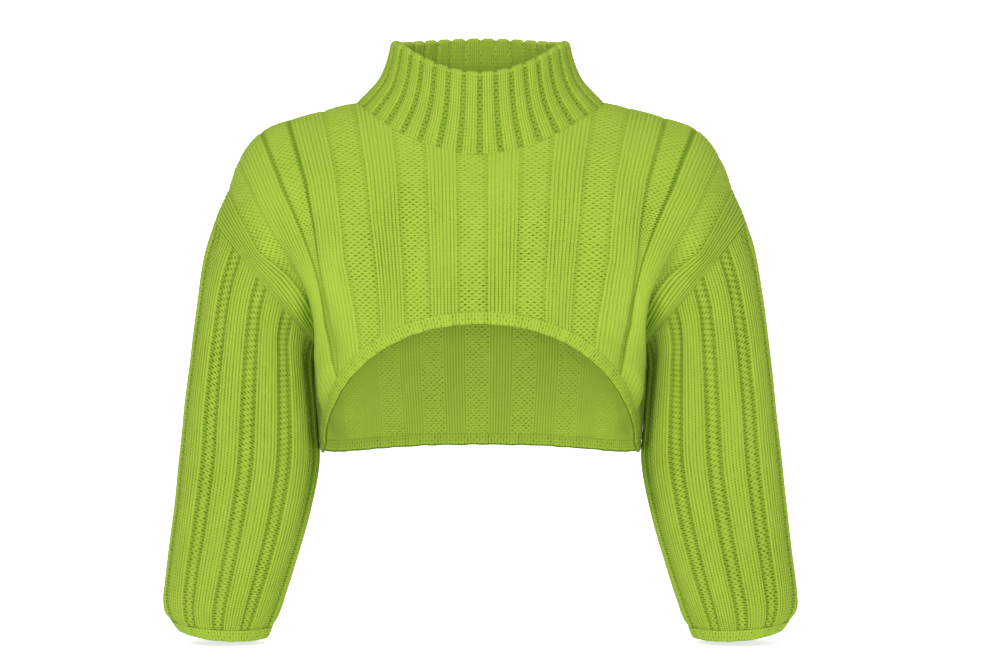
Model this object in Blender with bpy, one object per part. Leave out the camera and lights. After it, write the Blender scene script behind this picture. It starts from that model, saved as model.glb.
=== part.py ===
"""Cropped knit sweater, filled out and hollow: wide-ribbed body, full sleeves, ribbed funnel collar.

Run in Blender 4.5.  Metres, +Z up, the front faces -Y.  The origin is on the centre line, level with
the points where the shoulder seams meet the collar.  Lengths below are millimetres until a mesh is made.
"""

import math
from collections import namedtuple

import bpy
import numpy as np

MM = 0.001
FRONT, BACK = -1, 1       # which way a panel faces along Y
LEFT, RIGHT = 1, -1       # which way the wearer's left and right arm lie along X
UP = np.array([0.0, 0.0, 1.0])
QUARTER_ARC = math.pi / 2  # length of a quarter circle's end tangents, in radii
CURVE_STEPS = 24          # fineness of each stretch of a working curve
ROUND_STEPS = 360         # fineness of a working ring
TINY = 1e-6

def mix(a, b, share):
    return a + (b - a) * share


# ---------------------------------------------------------------- sizes shared by the pieces
SEAM_GAP = 0.4            # clear space between two pieces where a seam joins them
NECK_GAP = 0.8            # the same at the curved neck seam
BODY_WALL = 3.6           # cloth thickness at a knit band
SLEEVE_WALL = 3.8
COLLAR_WALL = 6.0         # the collar is double, and thickest at its rim
RIM_WALL = 9.5
BODY_RIB = 1.6            # how far a knit band stands above the purl bands beside it
SLEEVE_RIB = 2.4
COLLAR_RIB = 2.4
SEAM_RIB_SHARE = 0.35     # share of that height left where a rib runs into a seam

BODY_REPEATS = 4.75       # rib repeats from the centre line to the side seam
BODY_RIB_OFFSET = 0.13    # the middle purl band lies this many repeats off centre, to the wearer's right
SLEEVE_REPEATS = 11       # rib repeats round a sleeve
SLEEVE_RIB_OFFSET = 0.25
COLLAR_REPEATS = 32       # rib repeats round the collar
BODY_KNIT_SHARE = 0.50    # share of a repeat that is the raised knit band
SLEEVE_KNIT_SHARE = 0.62
COLLAR_KNIT_SHARE = 0.62
RIB_RAMP = 0.05           # half the width of a band's sloping side, in repeats

NECK_HALF_WIDTH = 119.0   # neck opening at the shoulder seams
NECK_FRONT_DEPTH = 80.0   # how far the neck opening reaches forward and back, seen from above
NECK_BACK_DEPTH = 71.0
NECK_LEAN_MIDDLE = 0.83   # sideways part of the cloth's outward direction at the seam, front and back
NECK_LEAN_SIDE = 0.50     # and at the shoulder seams, where the cloth lies flatter

HEM_Z = -329.0            # level of the hem's lower edge
HemPoint = namedtuple("HemPoint", "x lift")
HEM_LINE = [              # how far the hem rises above that level, out from the centre line
    HemPoint(0, 3),
    HemPoint(60, 2),
    HemPoint(110, -1),
    HemPoint(138, -2.5),
    HemPoint(151, -0.5),
    HemPoint(158, 2),
]
ARCH_HALF_WIDTH = 151.0   # the front hem is cut up in an arch of this half width
ARCH_RISE = 121.5         # from the hem band's upper edge to the crown of the arch
ARCH_POWER = 2.1          # 2 is an ellipse, more is squarer
ARCH_CORNER = 138.0       # out from here the front hem follows the back hem's rise to the side seam

# Armhole: an ellipse in one slanting plane, from the top of the upper arm down to the underarm.
ARMHOLE_TOP = np.array([255.0, 0.0, -109.0])
ARMHOLE_BOTTOM = np.array([156.5, 0.0, -228.0])
ARMHOLE_MID = (ARMHOLE_TOP + ARMHOLE_BOTTOM) / 2
ARMHOLE_HALF_LENGTH = float(np.linalg.norm(ARMHOLE_TOP - ARMHOLE_BOTTOM)) / 2
ARMHOLE_SLOPE = (ARMHOLE_TOP - ARMHOLE_MID) / ARMHOLE_HALF_LENGTH
ARMHOLE_NORMAL = np.array([ARMHOLE_SLOPE[2], 0.0, -ARMHOLE_SLOPE[0]])
ARMHOLE_DEPTH = 60.0      # half depth, front to back
ARMHOLE_TURN = (0.35, 0.75)  # heights, of its half length, between which the end faces turn into its plane

# Shoulder line from the centre, across the neck opening, over the shoulder to the top of the armhole.
ShoulderPoint = namedtuple("ShoulderPoint", "x z")
SHOULDER_LINE = [
    ShoulderPoint(0, 15),
    ShoulderPoint(62, 12),
    ShoulderPoint(NECK_HALF_WIDTH, 4.5),
    ShoulderPoint(148, -2.2),
    ShoulderPoint(178, -10.2),
    ShoulderPoint(203, -19),
    ShoulderPoint(218, -31),
    ShoulderPoint(232.5, -53),
    ShoulderPoint(243, -82),
    ShoulderPoint(255, -109),
]

# Sections of a half panel.  Each is a curve from the centre line to the edge: it leaves the centre
# straight sideways as far as reach, bends at the turn point and arrives at the edge point.  A spread
# over 1 makes the ribs wider near the centre than at the edge.
Section = namedtuple("Section", "centre_y centre_z reach turn_x turn_y turn_z edge_x edge_y edge_z spread")
SECTIONS = {
    FRONT: {
        "chest": Section(-114, -160, 118, 186, -86, -164, ARMHOLE_MID[0], -ARMHOLE_DEPTH, ARMHOLE_MID[2], 1.16),
        "underarm": Section(-113, -250, 104, 158, -76, -256, ARMHOLE_BOTTOM[0], 0, ARMHOLE_BOTTOM[2], 1.10),
        "hem": Section(-109, HEM_Z, 100, 154, -72, HEM_Z, 154, 0, HEM_Z, 1.0),
    },
    BACK: {
        "chest": Section(98, -160, 112, 184, 80, -164, ARMHOLE_MID[0], ARMHOLE_DEPTH, ARMHOLE_MID[2], 1.10),
        "underarm": Section(96, -250, 102, 158, 66, -256, ARMHOLE_BOTTOM[0], 0, ARMHOLE_BOTTOM[2], 1.05),
        "hem": Section(98, HEM_Z, 100, 154, 64, HEM_Z, 154, 0, HEM_Z, 1.0),
    },
}
# Roundness of the cloth from the shoulder line down: 1 is a true quarter ellipse, more is squarer.
SHOULDER_FULLNESS = {FRONT: 0.86, BACK: 1.45}
SHOULDER_FAN = 0.08       # how far the ribs lean inwards where they leave the shoulder line
CHEST_SWING = 2.2         # how late the ribs swing towards the armhole's slope, going outwards
WAIST_SWING = 0.12        # how far the ribs lean inwards at the underarm section
UNDERARM_DROP = 0.02      # how much the cloth still falls where it runs round under the arm
UNDERARM_FROM = 0.70      # place across from which the cloth starts to turn under the arm
UNDERARM_SETTLE = 0.86    # place across from which it turns down again below the armhole
SIDE_SWELL = 0.22         # how far it leans outwards as it does so, at the side seam

# Soft folds of the body cloth: at is in rib repeats from the centre line where the fold ends high up,
# lean is how far it runs inwards to its low end, rows run from 0 at the hem to 1 at the shoulder line.
Fold = namedtuple("Fold", "at lean low_row high_row depth width")
FOLD_FADE_IN, FOLD_FADE_OUT = 0.25, 0.7  # parts of its run over which a fold deepens and shallows
BODY_FOLDS = [
    Fold(3.05, -0.35, 0.28, 0.78, 5.0, 0.42),
    Fold(4.10, -0.20, 0.22, 0.52, 2.0, 0.30),
    Fold(2.05, -0.20, 0.20, 0.60, 1.6, 0.50),
]
BACK_FOLD_SHARE = 0.7     # the back's folds are shallower

# The panels' mesh: lines up a panel, columns beside the neck points and the least space between columns.
PANEL_SHARES = np.concatenate([[0.0], np.linspace(0.04, 0.96, 12), [1.0]])
NECK_COLUMNS = (0.90, 0.975, 1.0, 1.03)  # shares of the neck point's place across
COLUMN_SPACE = 0.004
EDGE_SPACE = 0.08         # least space to the side seam, in rib repeats
EASE_ROUNDS = 2           # how often the directions across the wall are averaged

# Rings of a sleeve, from the armhole down to the cuff seam.  The outer and inner points are the ends of
# an ellipse's long axis, depth is its other half axis, sag lowers its front and back.
Ring = namedtuple("Ring", "outer_x outer_z inner_x inner_z depth centre_y sag")
SLEEVE_RINGS = [
    Ring(ARMHOLE_TOP[0], ARMHOLE_TOP[2], ARMHOLE_BOTTOM[0], ARMHOLE_BOTTOM[2], ARMHOLE_DEPTH, 0, 0),
    Ring(265, -146, 162, -246, 61, 0, 0),
    Ring(273.5, -205, 163.5, -268, 60, -1, 0),
    Ring(281.5, -270, 158.5, -302, 58, -2, 0),
    Ring(288.5, -338, 157, -342, 56, -3, 0),
    Ring(294.5, -398, 165, -393, 55, -4, 0),
    Ring(300, -446, 178.5, -440, 53, -5, 1),
    Ring(302.5, -470, 188, -470, 49.5, -5, 2),
    Ring(300.5, -483.5, 194.5, -488, 45.5, -5, 3),
    Ring(296.5, -491, 199, -497, 42, -5, 3),
]
CUFF_END = Ring(290.5, -500, 202.5, -506.5, 39, -5, 3)
SLEEVE_LINES = (0.0, 0.03, 0.10, 0.21, 0.33, 0.45, 0.57, 0.69, 0.80, 0.89, 0.95, 1.0)
SLEEVE_RIB_START = 0.06   # share of the sleeve over which the ribs rise from the armhole seam
SLEEVE_RIB_END = 0.04     # and over which they sink to the cuff seam

# Levels of the collar above its seam, up to the rim.
Level = namedtuple("Level", "half_width front_y front_z side_y side_z back_y back_z")
COLLAR_LEVELS = [
    Level(109, -78, -34, -1, 14, 65, 9),
    Level(98, -76, -18, -3, 26, 61, 24),
    Level(91.5, -74.5, -2, -5, 39, 58.5, 42),
    Level(87.5, -74, 14, -7, 52, 57, 58),
    Level(85, -75, 30, -9, 65, 56, 74),
]
# Lines of the collar's mesh: how far up, the share of the rib height there, how far the outer face is
# drawn in, and the wall.
CollarLine = namedtuple("CollarLine", "share rib drawn wall")
COLLAR_LINES = [
    CollarLine(0.00, SEAM_RIB_SHARE, 0.0, BODY_WALL),
    CollarLine(0.12, 0.9, 0.0, COLLAR_WALL),
    CollarLine(0.38, 1.0, 0.0, mix(COLLAR_WALL, RIM_WALL, 0.5)),
    CollarLine(0.66, 1.0, 0.0, mix(COLLAR_WALL, RIM_WALL, 0.9)),
    CollarLine(0.90, 1.0, 0.0, RIM_WALL),
    CollarLine(0.965, 1.0, 1.7, RIM_WALL - 1.5),
]
COLLAR_CREST = 2.0        # the rim's rounding above the last line

# The narrow bands along hem, arch and cuffs: how far down the band, outer face and inner face.
TRIM_WIDTH = 11.0
TrimLine = namedtuple("TrimLine", "share outer inner")
TRIM_LINES = [
    TrimLine(0.00, 0.0, -3.6),
    TrimLine(0.15, 0.6, -4.0),
    TrimLine(0.85, 0.6, -4.0),
    TrimLine(1.00, -0.7, -2.9),
]


# ---------------------------------------------------------------- curves and surfaces
def unit(vectors):
    return vectors / np.linalg.norm(vectors, axis=-1, keepdims=True)


def smooth_step(low, high, value):
    part = np.clip((value - low) / (high - low), 0.0, 1.0)
    return part * part * (3.0 - 2.0 * part)


def run_length(line):
    """Distance from the start of a polyline to each of its points."""
    return np.concatenate([[0], np.cumsum(np.linalg.norm(np.diff(line, axis=0), axis=1))])


def by_distance(line, shares):
    """Points at the given shares of a polyline's length."""
    run = run_length(line)
    wanted = np.asarray(shares) * run[-1]
    return np.stack([np.interp(wanted, run, line[:, axis]) for axis in range(3)], axis=-1)


def smooth_line(points):
    """Fine polyline on a smooth curve through the points."""
    points = np.asarray(points, float)
    padded = np.vstack([2 * points[0] - points[1], points, 2 * points[-1] - points[-2]])
    fine = []
    for a, b, c, d in zip(padded, padded[1:], padded[2:], padded[3:]):
        for k in np.linspace(0, 1, CURVE_STEPS, endpoint=False):
            fine.append(0.5 * (2 * b + (c - a) * k + (2 * a - 5 * b + 4 * c - d) * k ** 2
                               + (3 * b - a - 3 * c + d) * k ** 3))
    fine.append(points[-1])
    return np.array(fine)


def hermite(start, leave, end, arrive, k):
    return ((2 * k ** 3 - 3 * k ** 2 + 1) * start + (k ** 3 - 2 * k ** 2 + k) * leave
            + (3 * k ** 2 - 2 * k ** 3) * end + (k ** 3 - k ** 2) * arrive)


def surface_normals(points, closed):
    """Unit normals of a grid of points, lines by columns."""
    along = np.gradient(points, axis=0)
    if closed:
        across = np.roll(points, -1, axis=1) - np.roll(points, 1, axis=1)
    else:
        across = np.gradient(points, axis=1)
    return unit(np.cross(across, along))


def rib_height(repeats, knit_share):
    """1 on a knit band and 0 on a purl band; a knit band is centred on each half repeat."""
    off = np.abs(np.mod(repeats, 1.0) - 0.5)
    return np.clip((knit_share / 2 + RIB_RAMP - off) / (2 * RIB_RAMP), 0.0, 1.0)


# ---------------------------------------------------------------- form of the two body panels
def shoulder_curve():
    return smooth_line([(point.x, 0.0, point.z) for point in SHOULDER_LINE])


def neck_share():
    """Share of a half panel's columns that end at the neckline."""
    curve = shoulder_curve()
    run = run_length(curve)
    return float(np.interp(NECK_HALF_WIDTH, curve[:, 0], run) / run[-1])


NECK_SHARE = neck_share()


def section_points(section, across):
    """Points of a half section at the given shares of its width."""
    centre = np.array([0, section.centre_y, section.centre_z])
    reach = np.array([section.reach, section.centre_y, section.centre_z])
    turn = np.array([section.turn_x, section.turn_y, section.turn_z])
    edge = np.array([section.edge_x, section.edge_y, section.edge_z])
    k = np.linspace(0, 1, 3 * CURVE_STEPS)[:, None]
    line = ((1 - k) ** 3 * centre + 3 * k * (1 - k) ** 2 * reach
            + 3 * k ** 2 * (1 - k) * turn + k ** 3 * edge)
    return by_distance(line, across * (section.spread - (section.spread - 1) * across))


def chest_direction(across):
    """Downward direction at the chest section: upright in the middle, along the armhole at the edge."""
    inward = across ** CHEST_SWING
    return unit(np.stack([-ARMHOLE_SLOPE[0] * inward, 0 * across,
                          -mix(1.0, ARMHOLE_SLOPE[2], inward)], axis=-1))


def underarm_direction(across, facing, edge):
    """Downward direction at the underarm section; where edge is 1 it runs round under the arm."""
    return unit(np.stack([-WAIST_SWING * across * (1 - edge), -facing * edge,
                          edge - 1 - UNDERARM_DROP], axis=-1))


def column_lines(across, facing):
    """Fine lines up the panel's outer form at each place across, from the hem to the shoulder line."""
    hem, underarm, chest = (section_points(SECTIONS[facing][name], across)
                            for name in ("hem", "underarm", "chest"))
    shoulder = by_distance(shoulder_curve(), across)
    edge = smooth_step(UNDERARM_FROM, 1.0, across)[:, None]
    settle = smooth_step(UNDERARM_SETTLE, 1.0, across)[:, None]
    forward = np.stack([-SHOULDER_FAN * across * (1 - across), facing + 0 * across, 0 * across], axis=-1)
    down = chest_direction(across)
    around = underarm_direction(across, facing, edge[:, 0])

    def reach_y(a, b):
        return QUARTER_ARC * np.abs(a - b)[:, 1:2]

    def reach_xz(a, b):
        return QUARTER_ARC * np.hypot(*(a - b)[:, ::2].T)[:, None]

    full = mix(SHOULDER_FULLNESS[facing], 1.0, across[:, None])
    mid_run = np.linalg.norm(chest - underarm, axis=1, keepdims=True)
    low_run = np.linalg.norm(underarm - hem, axis=1, keepdims=True)
    steps = np.linspace(0, 1, CURVE_STEPS + 1)
    upper = [hermite(shoulder, forward * reach_y(shoulder, chest) * full,
                     chest, down * reach_xz(shoulder, chest) * full, k) for k in steps[:-1]]
    middle = [hermite(chest, down * mix(mid_run, reach_xz(chest, underarm), edge),
                      underarm, around * mix(mid_run, reach_y(chest, underarm), edge), k) for k in steps[:-1]]
    below = unit(mix(around, np.array([SIDE_SWELL, 0, -1]), settle))
    lower = [hermite(underarm, below * low_run, hem, -UP * low_run, k) for k in steps]
    return np.array(upper + middle + lower)[::-1]


def crossing(line, height):
    """Share of a line's length where the height along it passes up through zero."""
    run = run_length(line)
    above = np.flatnonzero((height[:-1] <= 0) & (height[1:] > 0))
    if len(above) == 0:
        return 1.0
    k = above[-1]
    part = height[k] / (height[k] - height[k + 1])
    return mix(run[k], run[k + 1], part) / run[-1]


def hem_share(line, facing):
    """Where a column starts: at the seam of the straight hem band, or of the arch's band in front."""
    from_centre = np.abs(line[:, 0])
    hem = smooth_line([(point.x, point.lift, 0) for point in HEM_LINE])
    lift = np.interp(from_centre, hem[:, 0], hem[:, 1])
    if facing == FRONT:
        inside = np.clip(1 - (from_centre / ARCH_HALF_WIDTH) ** ARCH_POWER, 0, 1)
        lift = lift * smooth_step(ARCH_CORNER, ARCH_HALF_WIDTH, from_centre)
        lift = lift + ARCH_RISE * inside ** (1 / ARCH_POWER)
    return crossing(line, line[:, 2] - (HEM_Z + TRIM_WIDTH + lift))


def neckline_share(line, facing):
    """Where a column ends: on the neck opening's outline seen from above."""
    depth = NECK_FRONT_DEPTH if facing == FRONT else NECK_BACK_DEPTH
    outside = (line[:, 0] / NECK_HALF_WIDTH) ** 2 + (line[:, 1] / depth) ** 2 - 1
    return crossing(line, -outside)


def body_repeats(across):
    """Rib repeats from the middle purl band, for signed places from -1 to 1 across a panel."""
    return across * BODY_REPEATS + BODY_RIB_OFFSET * (1 - np.abs(across))


def panel_across():
    """Places of the mesh columns: beside every band edge and between, and close by the neck point."""
    fine = np.linspace(-1, 1, 10 * ROUND_STEPS + 1)
    repeats = body_repeats(fine)
    marks = [-1.0, 1.0]
    half_bands = round(2 * BODY_REPEATS) + 1
    for band in range(-half_bands, half_bands):
        band_edge = band / 2 + 0.25
        for offset in (-RIB_RAMP, RIB_RAMP, 0.25):
            if abs(band_edge + offset) < BODY_REPEATS - EDGE_SPACE:
                marks.append(float(np.interp(band_edge + offset, repeats, fine)))
    for near_neck in NECK_COLUMNS:
        marks += [-NECK_SHARE * near_neck, NECK_SHARE * near_neck]
    marks = np.unique(marks)
    crowded = np.concatenate([[False], np.diff(marks) < COLUMN_SPACE])
    keep = ~crowded | np.isclose(np.abs(marks), NECK_SHARE) | np.isclose(np.abs(marks), 1.0)
    return marks[keep]


Surface = namedtuple("Surface", "across rows points normals")


def panel_surface(facing):
    """Outer form of a panel as a grid: lines from its lower to its upper edge, columns along the ribs."""
    across = panel_across()
    lines = column_lines(np.abs(across), facing)
    rows = np.empty((len(PANEL_SHARES), len(across)))
    points = np.empty((len(PANEL_SHARES), len(across), 3))
    for column, place in enumerate(np.abs(across)):
        line = lines[:, column]
        low = hem_share(line, facing)
        high = neckline_share(line, facing) if place < NECK_SHARE - TINY else 1.0
        rows[:, column] = mix(low, high, PANEL_SHARES)
        points[:, column] = by_distance(line, rows[:, column])
    points[..., 0] *= np.sign(across)
    return Surface(across, rows, points, -facing * surface_normals(points, False))


# ---------------------------------------------------------------- directions shared at the seams
def neck_direction(point):
    """Outward direction shared by panel and collar at a point of the neck seam."""
    sine = point[0] / NECK_HALF_WIDTH
    sideways = mix(NECK_LEAN_MIDDLE, NECK_LEAN_SIDE, abs(sine))
    cosine = math.copysign(math.sqrt(max(0.0, 1 - sine * sine)), point[1])
    return np.array([sine * sideways, cosine * sideways, math.sqrt(1 - sideways ** 2)])


def neck_gap_direction(line, directions):
    """Upward direction square to the neck seam and to its end faces, along which they part."""
    away = unit(np.cross(np.gradient(line, axis=0), directions))
    return away * np.sign(away[:, 2:])


def armhole_direction(points):
    """Directions square to the armhole's outline, in its own plane."""
    spokes = points - ARMHOLE_MID
    along = spokes @ ARMHOLE_SLOPE / ARMHOLE_HALF_LENGTH ** 2
    return unit(along[:, None] * ARMHOLE_SLOPE + spokes * [0, 1, 0] / ARMHOLE_DEPTH ** 2)


def armhole_share(points):
    """1 at the armhole's top, where both walls end in its plane, 0 where the walls turn apart."""
    height = (points - ARMHOLE_MID) @ ARMHOLE_SLOPE / ARMHOLE_HALF_LENGTH
    return smooth_step(*ARMHOLE_TURN, height)[:, None]


def panel_directions(surface, facing):
    """Normals, turned along the edges so that the end faces of two joined pieces lie side by side."""
    turned = surface.normals.copy()
    for column in (0, -1):
        side = np.array([np.sign(surface.across[column]), 1, 1])
        edge = surface.points[:, column] * side
        own = turned[:, column] * side
        flank = unit(own * [1, 0, 1])
        on_armhole = edge[:, 2] > ARMHOLE_BOTTOM[2] + 1.0
        shared = unit(mix(own, armhole_direction(edge), armhole_share(edge)))
        turned[:, column] = np.where(on_armhole[:, None], shared, flank) * side
    neck = on_neck(surface)
    turned[-1, ~neck] = unit(turned[-1, ~neck] * [1, 0, 1])
    turned[-1, neck] = [neck_direction(point) for point in surface.points[-1, neck]]
    return eased(turned)


def on_neck(surface):
    return np.abs(surface.across) < NECK_SHARE + TINY


def eased(directions):
    """Directions averaged with their neighbours inside the piece, kept at its edges."""
    smooth = directions.copy()
    for _ in range(EASE_ROUNDS):
        inner = smooth[1:-1, 1:-1] * 2
        inner = inner + smooth[:-2, 1:-1] + smooth[2:, 1:-1] + smooth[1:-1, :-2] + smooth[1:-1, 2:]
        smooth[1:-1, 1:-1] = unit(inner)
    return smooth


def drawn_back(surface, facing):
    """The panel's points with half the seam gap left along its edges."""
    moved = surface.points.copy()
    low = np.abs(moved[..., 1]) < SEAM_GAP / 2
    moved[..., 1] = np.where(low, facing * SEAM_GAP / 2, moved[..., 1])
    neck = on_neck(surface)
    line = surface.points[-1, neck]
    directions = np.array([neck_direction(point) for point in line])
    moved[-1, neck] -= neck_gap_direction(line, directions) * NECK_GAP / 2
    for column in (0, -1):
        side = np.array([np.sign(surface.across[column]), 1, 1])
        on_armhole = surface.points[:, column, 2] > ARMHOLE_BOTTOM[2] - 1.0
        moved[on_armhole, column] -= ARMHOLE_NORMAL * side * SEAM_GAP / 2
    return moved


def fold_depth(surface, facing):
    """Depth of the soft folds over a panel."""
    from_centre = np.abs(surface.across)[None, :] * BODY_REPEATS
    depth = np.zeros_like(surface.rows)
    for fold in BODY_FOLDS:
        height = (surface.rows - fold.low_row) / (fold.high_row - fold.low_row)
        middle = fold.at + fold.lean * (1 - height)
        along = smooth_step(0.0, FOLD_FADE_IN, height) * (1 - smooth_step(FOLD_FADE_OUT, 1.0, height))
        depth += fold.depth * along * np.exp(-((from_centre - middle) / fold.width) ** 2)
    return depth * (1.0 if facing == FRONT else BACK_FOLD_SHARE)


def make_panel(name, surface, facing, material):
    """A body panel: ribs and folds in its outer points over a plain inside."""
    turned = panel_directions(surface, facing)
    points = drawn_back(surface, facing)
    lift = rib_height(body_repeats(surface.across), BODY_KNIT_SHARE)[None, :]
    folds = fold_depth(surface, facing)
    outer = points - (BODY_RIB * (1 - lift) + folds)[..., None] * turned
    inner = points - (BODY_WALL + folds)[..., None] * turned
    return wall(name, outer, inner, False, material, facing == BACK)


# ---------------------------------------------------------------- closed walls
def wall(name, outer, inner, closed, material, flip):
    """One closed wall between two grids of points, lines by columns."""
    return tube_wall(name, np.concatenate([outer, inner[::-1]]), closed, material, flip)


def tube_wall(name, section, closed, material, flip):
    """A closed wall from the loop of lines round its cross-section, swept over the columns."""
    lines, columns = section.shape[:2]
    faces = []
    for line in range(lines):
        following = (line + 1) % lines
        for column in range(columns if closed else columns - 1):
            side = (column + 1) % columns
            faces.append((line * columns + column, line * columns + side,
                          following * columns + side, following * columns + column))
    if not closed:
        half = lines // 2
        for line in range(half - 1):
            for end, turn in ((0, 1), (columns - 1, -1)):
                a, b = line * columns + end, (line + 1) * columns + end
                c, d = (lines - 2 - line) * columns + end, (lines - 1 - line) * columns + end
                faces.append((a, b, c, d)[::turn])
    if flip:
        faces = [face[::-1] for face in faces]
    mesh = bpy.data.meshes.new(name)
    mesh.from_pydata((section.reshape(-1, 3) * MM).tolist(), [], faces)
    mesh.update()
    mesh.materials.append(material)
    node = bpy.data.objects.new(name, mesh)
    bpy.context.collection.objects.link(node)
    return node


# ---------------------------------------------------------------- hem bands
def make_hem_band(name, surface, facing, material):
    """A strip below a panel's lower edge, as wide as the trim, square to that edge."""
    seam = surface.points[0]
    out = surface.normals[0].copy()
    out[0] = [-1, 0, 0]
    out[-1] = [1, 0, 0]
    down = -facing * unit(np.cross(np.gradient(seam, axis=0), out))
    down[0] = -UP
    down[-1] = -UP
    outer, inner = [], []
    for trim in TRIM_LINES:
        along = seam + down * mix(SEAM_GAP, TRIM_WIDTH, trim.share)
        outer.append(along + out * trim.outer)
        inner.append(along + out * trim.inner)
    outer, inner = np.array(outer), np.array(inner)
    for grid in (outer, inner):
        grid[:, 0, 1] = facing * SEAM_GAP / 2
        grid[:, -1, 1] = facing * SEAM_GAP / 2
    return wall(name, outer, inner, False, material, facing == FRONT)


# ---------------------------------------------------------------- sleeves and cuffs
def ring_line(ring):
    """Fine closed line round a sleeve ring, from the underarm over the front, the outside and the back."""
    outer = np.array([ring.outer_x, ring.centre_y, ring.outer_z])
    inner = np.array([ring.inner_x, ring.centre_y, ring.inner_z])
    turn = np.linspace(0, 2 * math.pi, ROUND_STEPS + 1)[:, None]
    line = (outer + inner) / 2 + (inner - outer) / 2 * np.cos(turn)
    line = line + np.array([0, -ring.depth, 0]) * np.sin(turn) - ring.sag * UP * np.sin(turn) ** 2
    return line


def sleeve_marks():
    """Shares of the way round at both sides of every rib edge."""
    half = SLEEVE_KNIT_SHARE / 2
    marks = [repeat + 0.5 + side * half + ramp for repeat in range(SLEEVE_REPEATS)
             for side in (-1, 1) for ramp in (-RIB_RAMP, RIB_RAMP)]
    return np.array(marks)


def ring_spokes(points, ring):
    """Directions square to a ring's outline, in its own plane."""
    outer = np.array([ring.outer_x, ring.centre_y, ring.outer_z])
    inner = np.array([ring.inner_x, ring.centre_y, ring.inner_z])
    half_length = np.linalg.norm(outer - inner) / 2
    slope = (outer - inner) / (2 * half_length)
    spokes = points - (outer + inner) / 2
    along = spokes @ slope / half_length ** 2
    return unit(along[:, None] * slope + spokes * [0, 1, 0] / ring.depth ** 2)


def sleeve_columns():
    """Places round the sleeve, and where in a rib repeat each lies."""
    marks = sleeve_marks()
    around = np.mod((marks - SLEEVE_RIB_OFFSET) / SLEEVE_REPEATS, 1.0)
    order = np.argsort(around)
    return around[order], marks[order]


def make_sleeve(name, side, material):
    around, repeats = sleeve_columns()
    stack = np.array([by_distance(ring_line(ring), around) for ring in SLEEVE_RINGS])
    points = np.array([by_distance(smooth_line(stack[:, column]), SLEEVE_LINES)
                       for column in range(len(around))]).transpose(1, 0, 2)
    normals = -surface_normals(points, True)
    shared = armhole_share(points[0])
    normals[0] = unit(mix(normals[0], armhole_direction(points[0]), shared))
    normals[-1] = ring_spokes(points[-1], SLEEVE_RINGS[-1])
    lift = rib_height(repeats, SLEEVE_KNIT_SHARE)
    lines = np.array(SLEEVE_LINES)
    inside = smooth_step(0, SLEEVE_RIB_START, lines) * smooth_step(0, SLEEVE_RIB_END, 1 - lines)
    rise = mix(SEAM_RIB_SHARE, 1.0, inside)
    points[0] += ARMHOLE_NORMAL * SEAM_GAP / 2
    outer = points - (SLEEVE_RIB * (1 - lift) * rise[:, None])[..., None] * normals
    inner = points - SLEEVE_WALL * normals
    outer[..., 0] *= side
    inner[..., 0] *= side
    return wall(name, outer, inner, True, material, side == LEFT)


def make_cuff(name, side, material):
    around, _ = sleeve_columns()
    top = by_distance(ring_line(SLEEVE_RINGS[-1]), around)
    end = by_distance(ring_line(CUFF_END), around)
    out = ring_spokes(top, SLEEVE_RINGS[-1])
    top = top + unit(end - top) * SEAM_GAP
    outer = np.array([mix(top, end, trim.share) + out * trim.outer for trim in TRIM_LINES])
    inner = np.array([mix(top, end, trim.share) + out * trim.inner for trim in TRIM_LINES])
    outer[..., 0] *= side
    inner[..., 0] *= side
    return wall(name, outer, inner, True, material, side == LEFT)


# ---------------------------------------------------------------- collar
def collar_line(level):
    """Fine closed line round a collar level, from the front centre by the right side to the back."""
    turn = np.linspace(0, 2 * math.pi, ROUND_STEPS + 1)
    cosine = np.cos(turn)
    middle_y = np.where(cosine > 0, level.front_y, level.back_y)
    middle_z = np.where(cosine > 0, level.front_z, level.back_z)
    return np.stack([level.half_width * np.sin(turn), mix(level.side_y, middle_y, np.abs(cosine)),
                     mix(level.side_z, middle_z, cosine ** 2)], axis=-1)


def neck_seam_line(front, back):
    """Closed line round the neck seam, in the same order as the collar's levels."""
    halves = []
    for surface in (front, back):
        ends = on_neck(surface) & (surface.points[-1, :, 0] >= 0)
        halves.append(surface.points[-1, ends])
    centre_front = halves[0][0] * [0, 1, 1]
    centre_back = halves[1][0] * [0, 1, 1]
    right = np.vstack([[centre_front], halves[0], halves[1][::-1][1:], [centre_back]])
    left = right[::-1][1:] * [-1, 1, 1]
    return np.vstack([right, left])


def collar_marks():
    """Rib repeats at the middle of every groove and at both edges of every rib's crown."""
    half = COLLAR_KNIT_SHARE / 2 - RIB_RAMP
    return np.array([repeat + at for repeat in range(COLLAR_REPEATS) for at in (0.0, 0.5 - half, 0.5 + half)])


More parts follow.
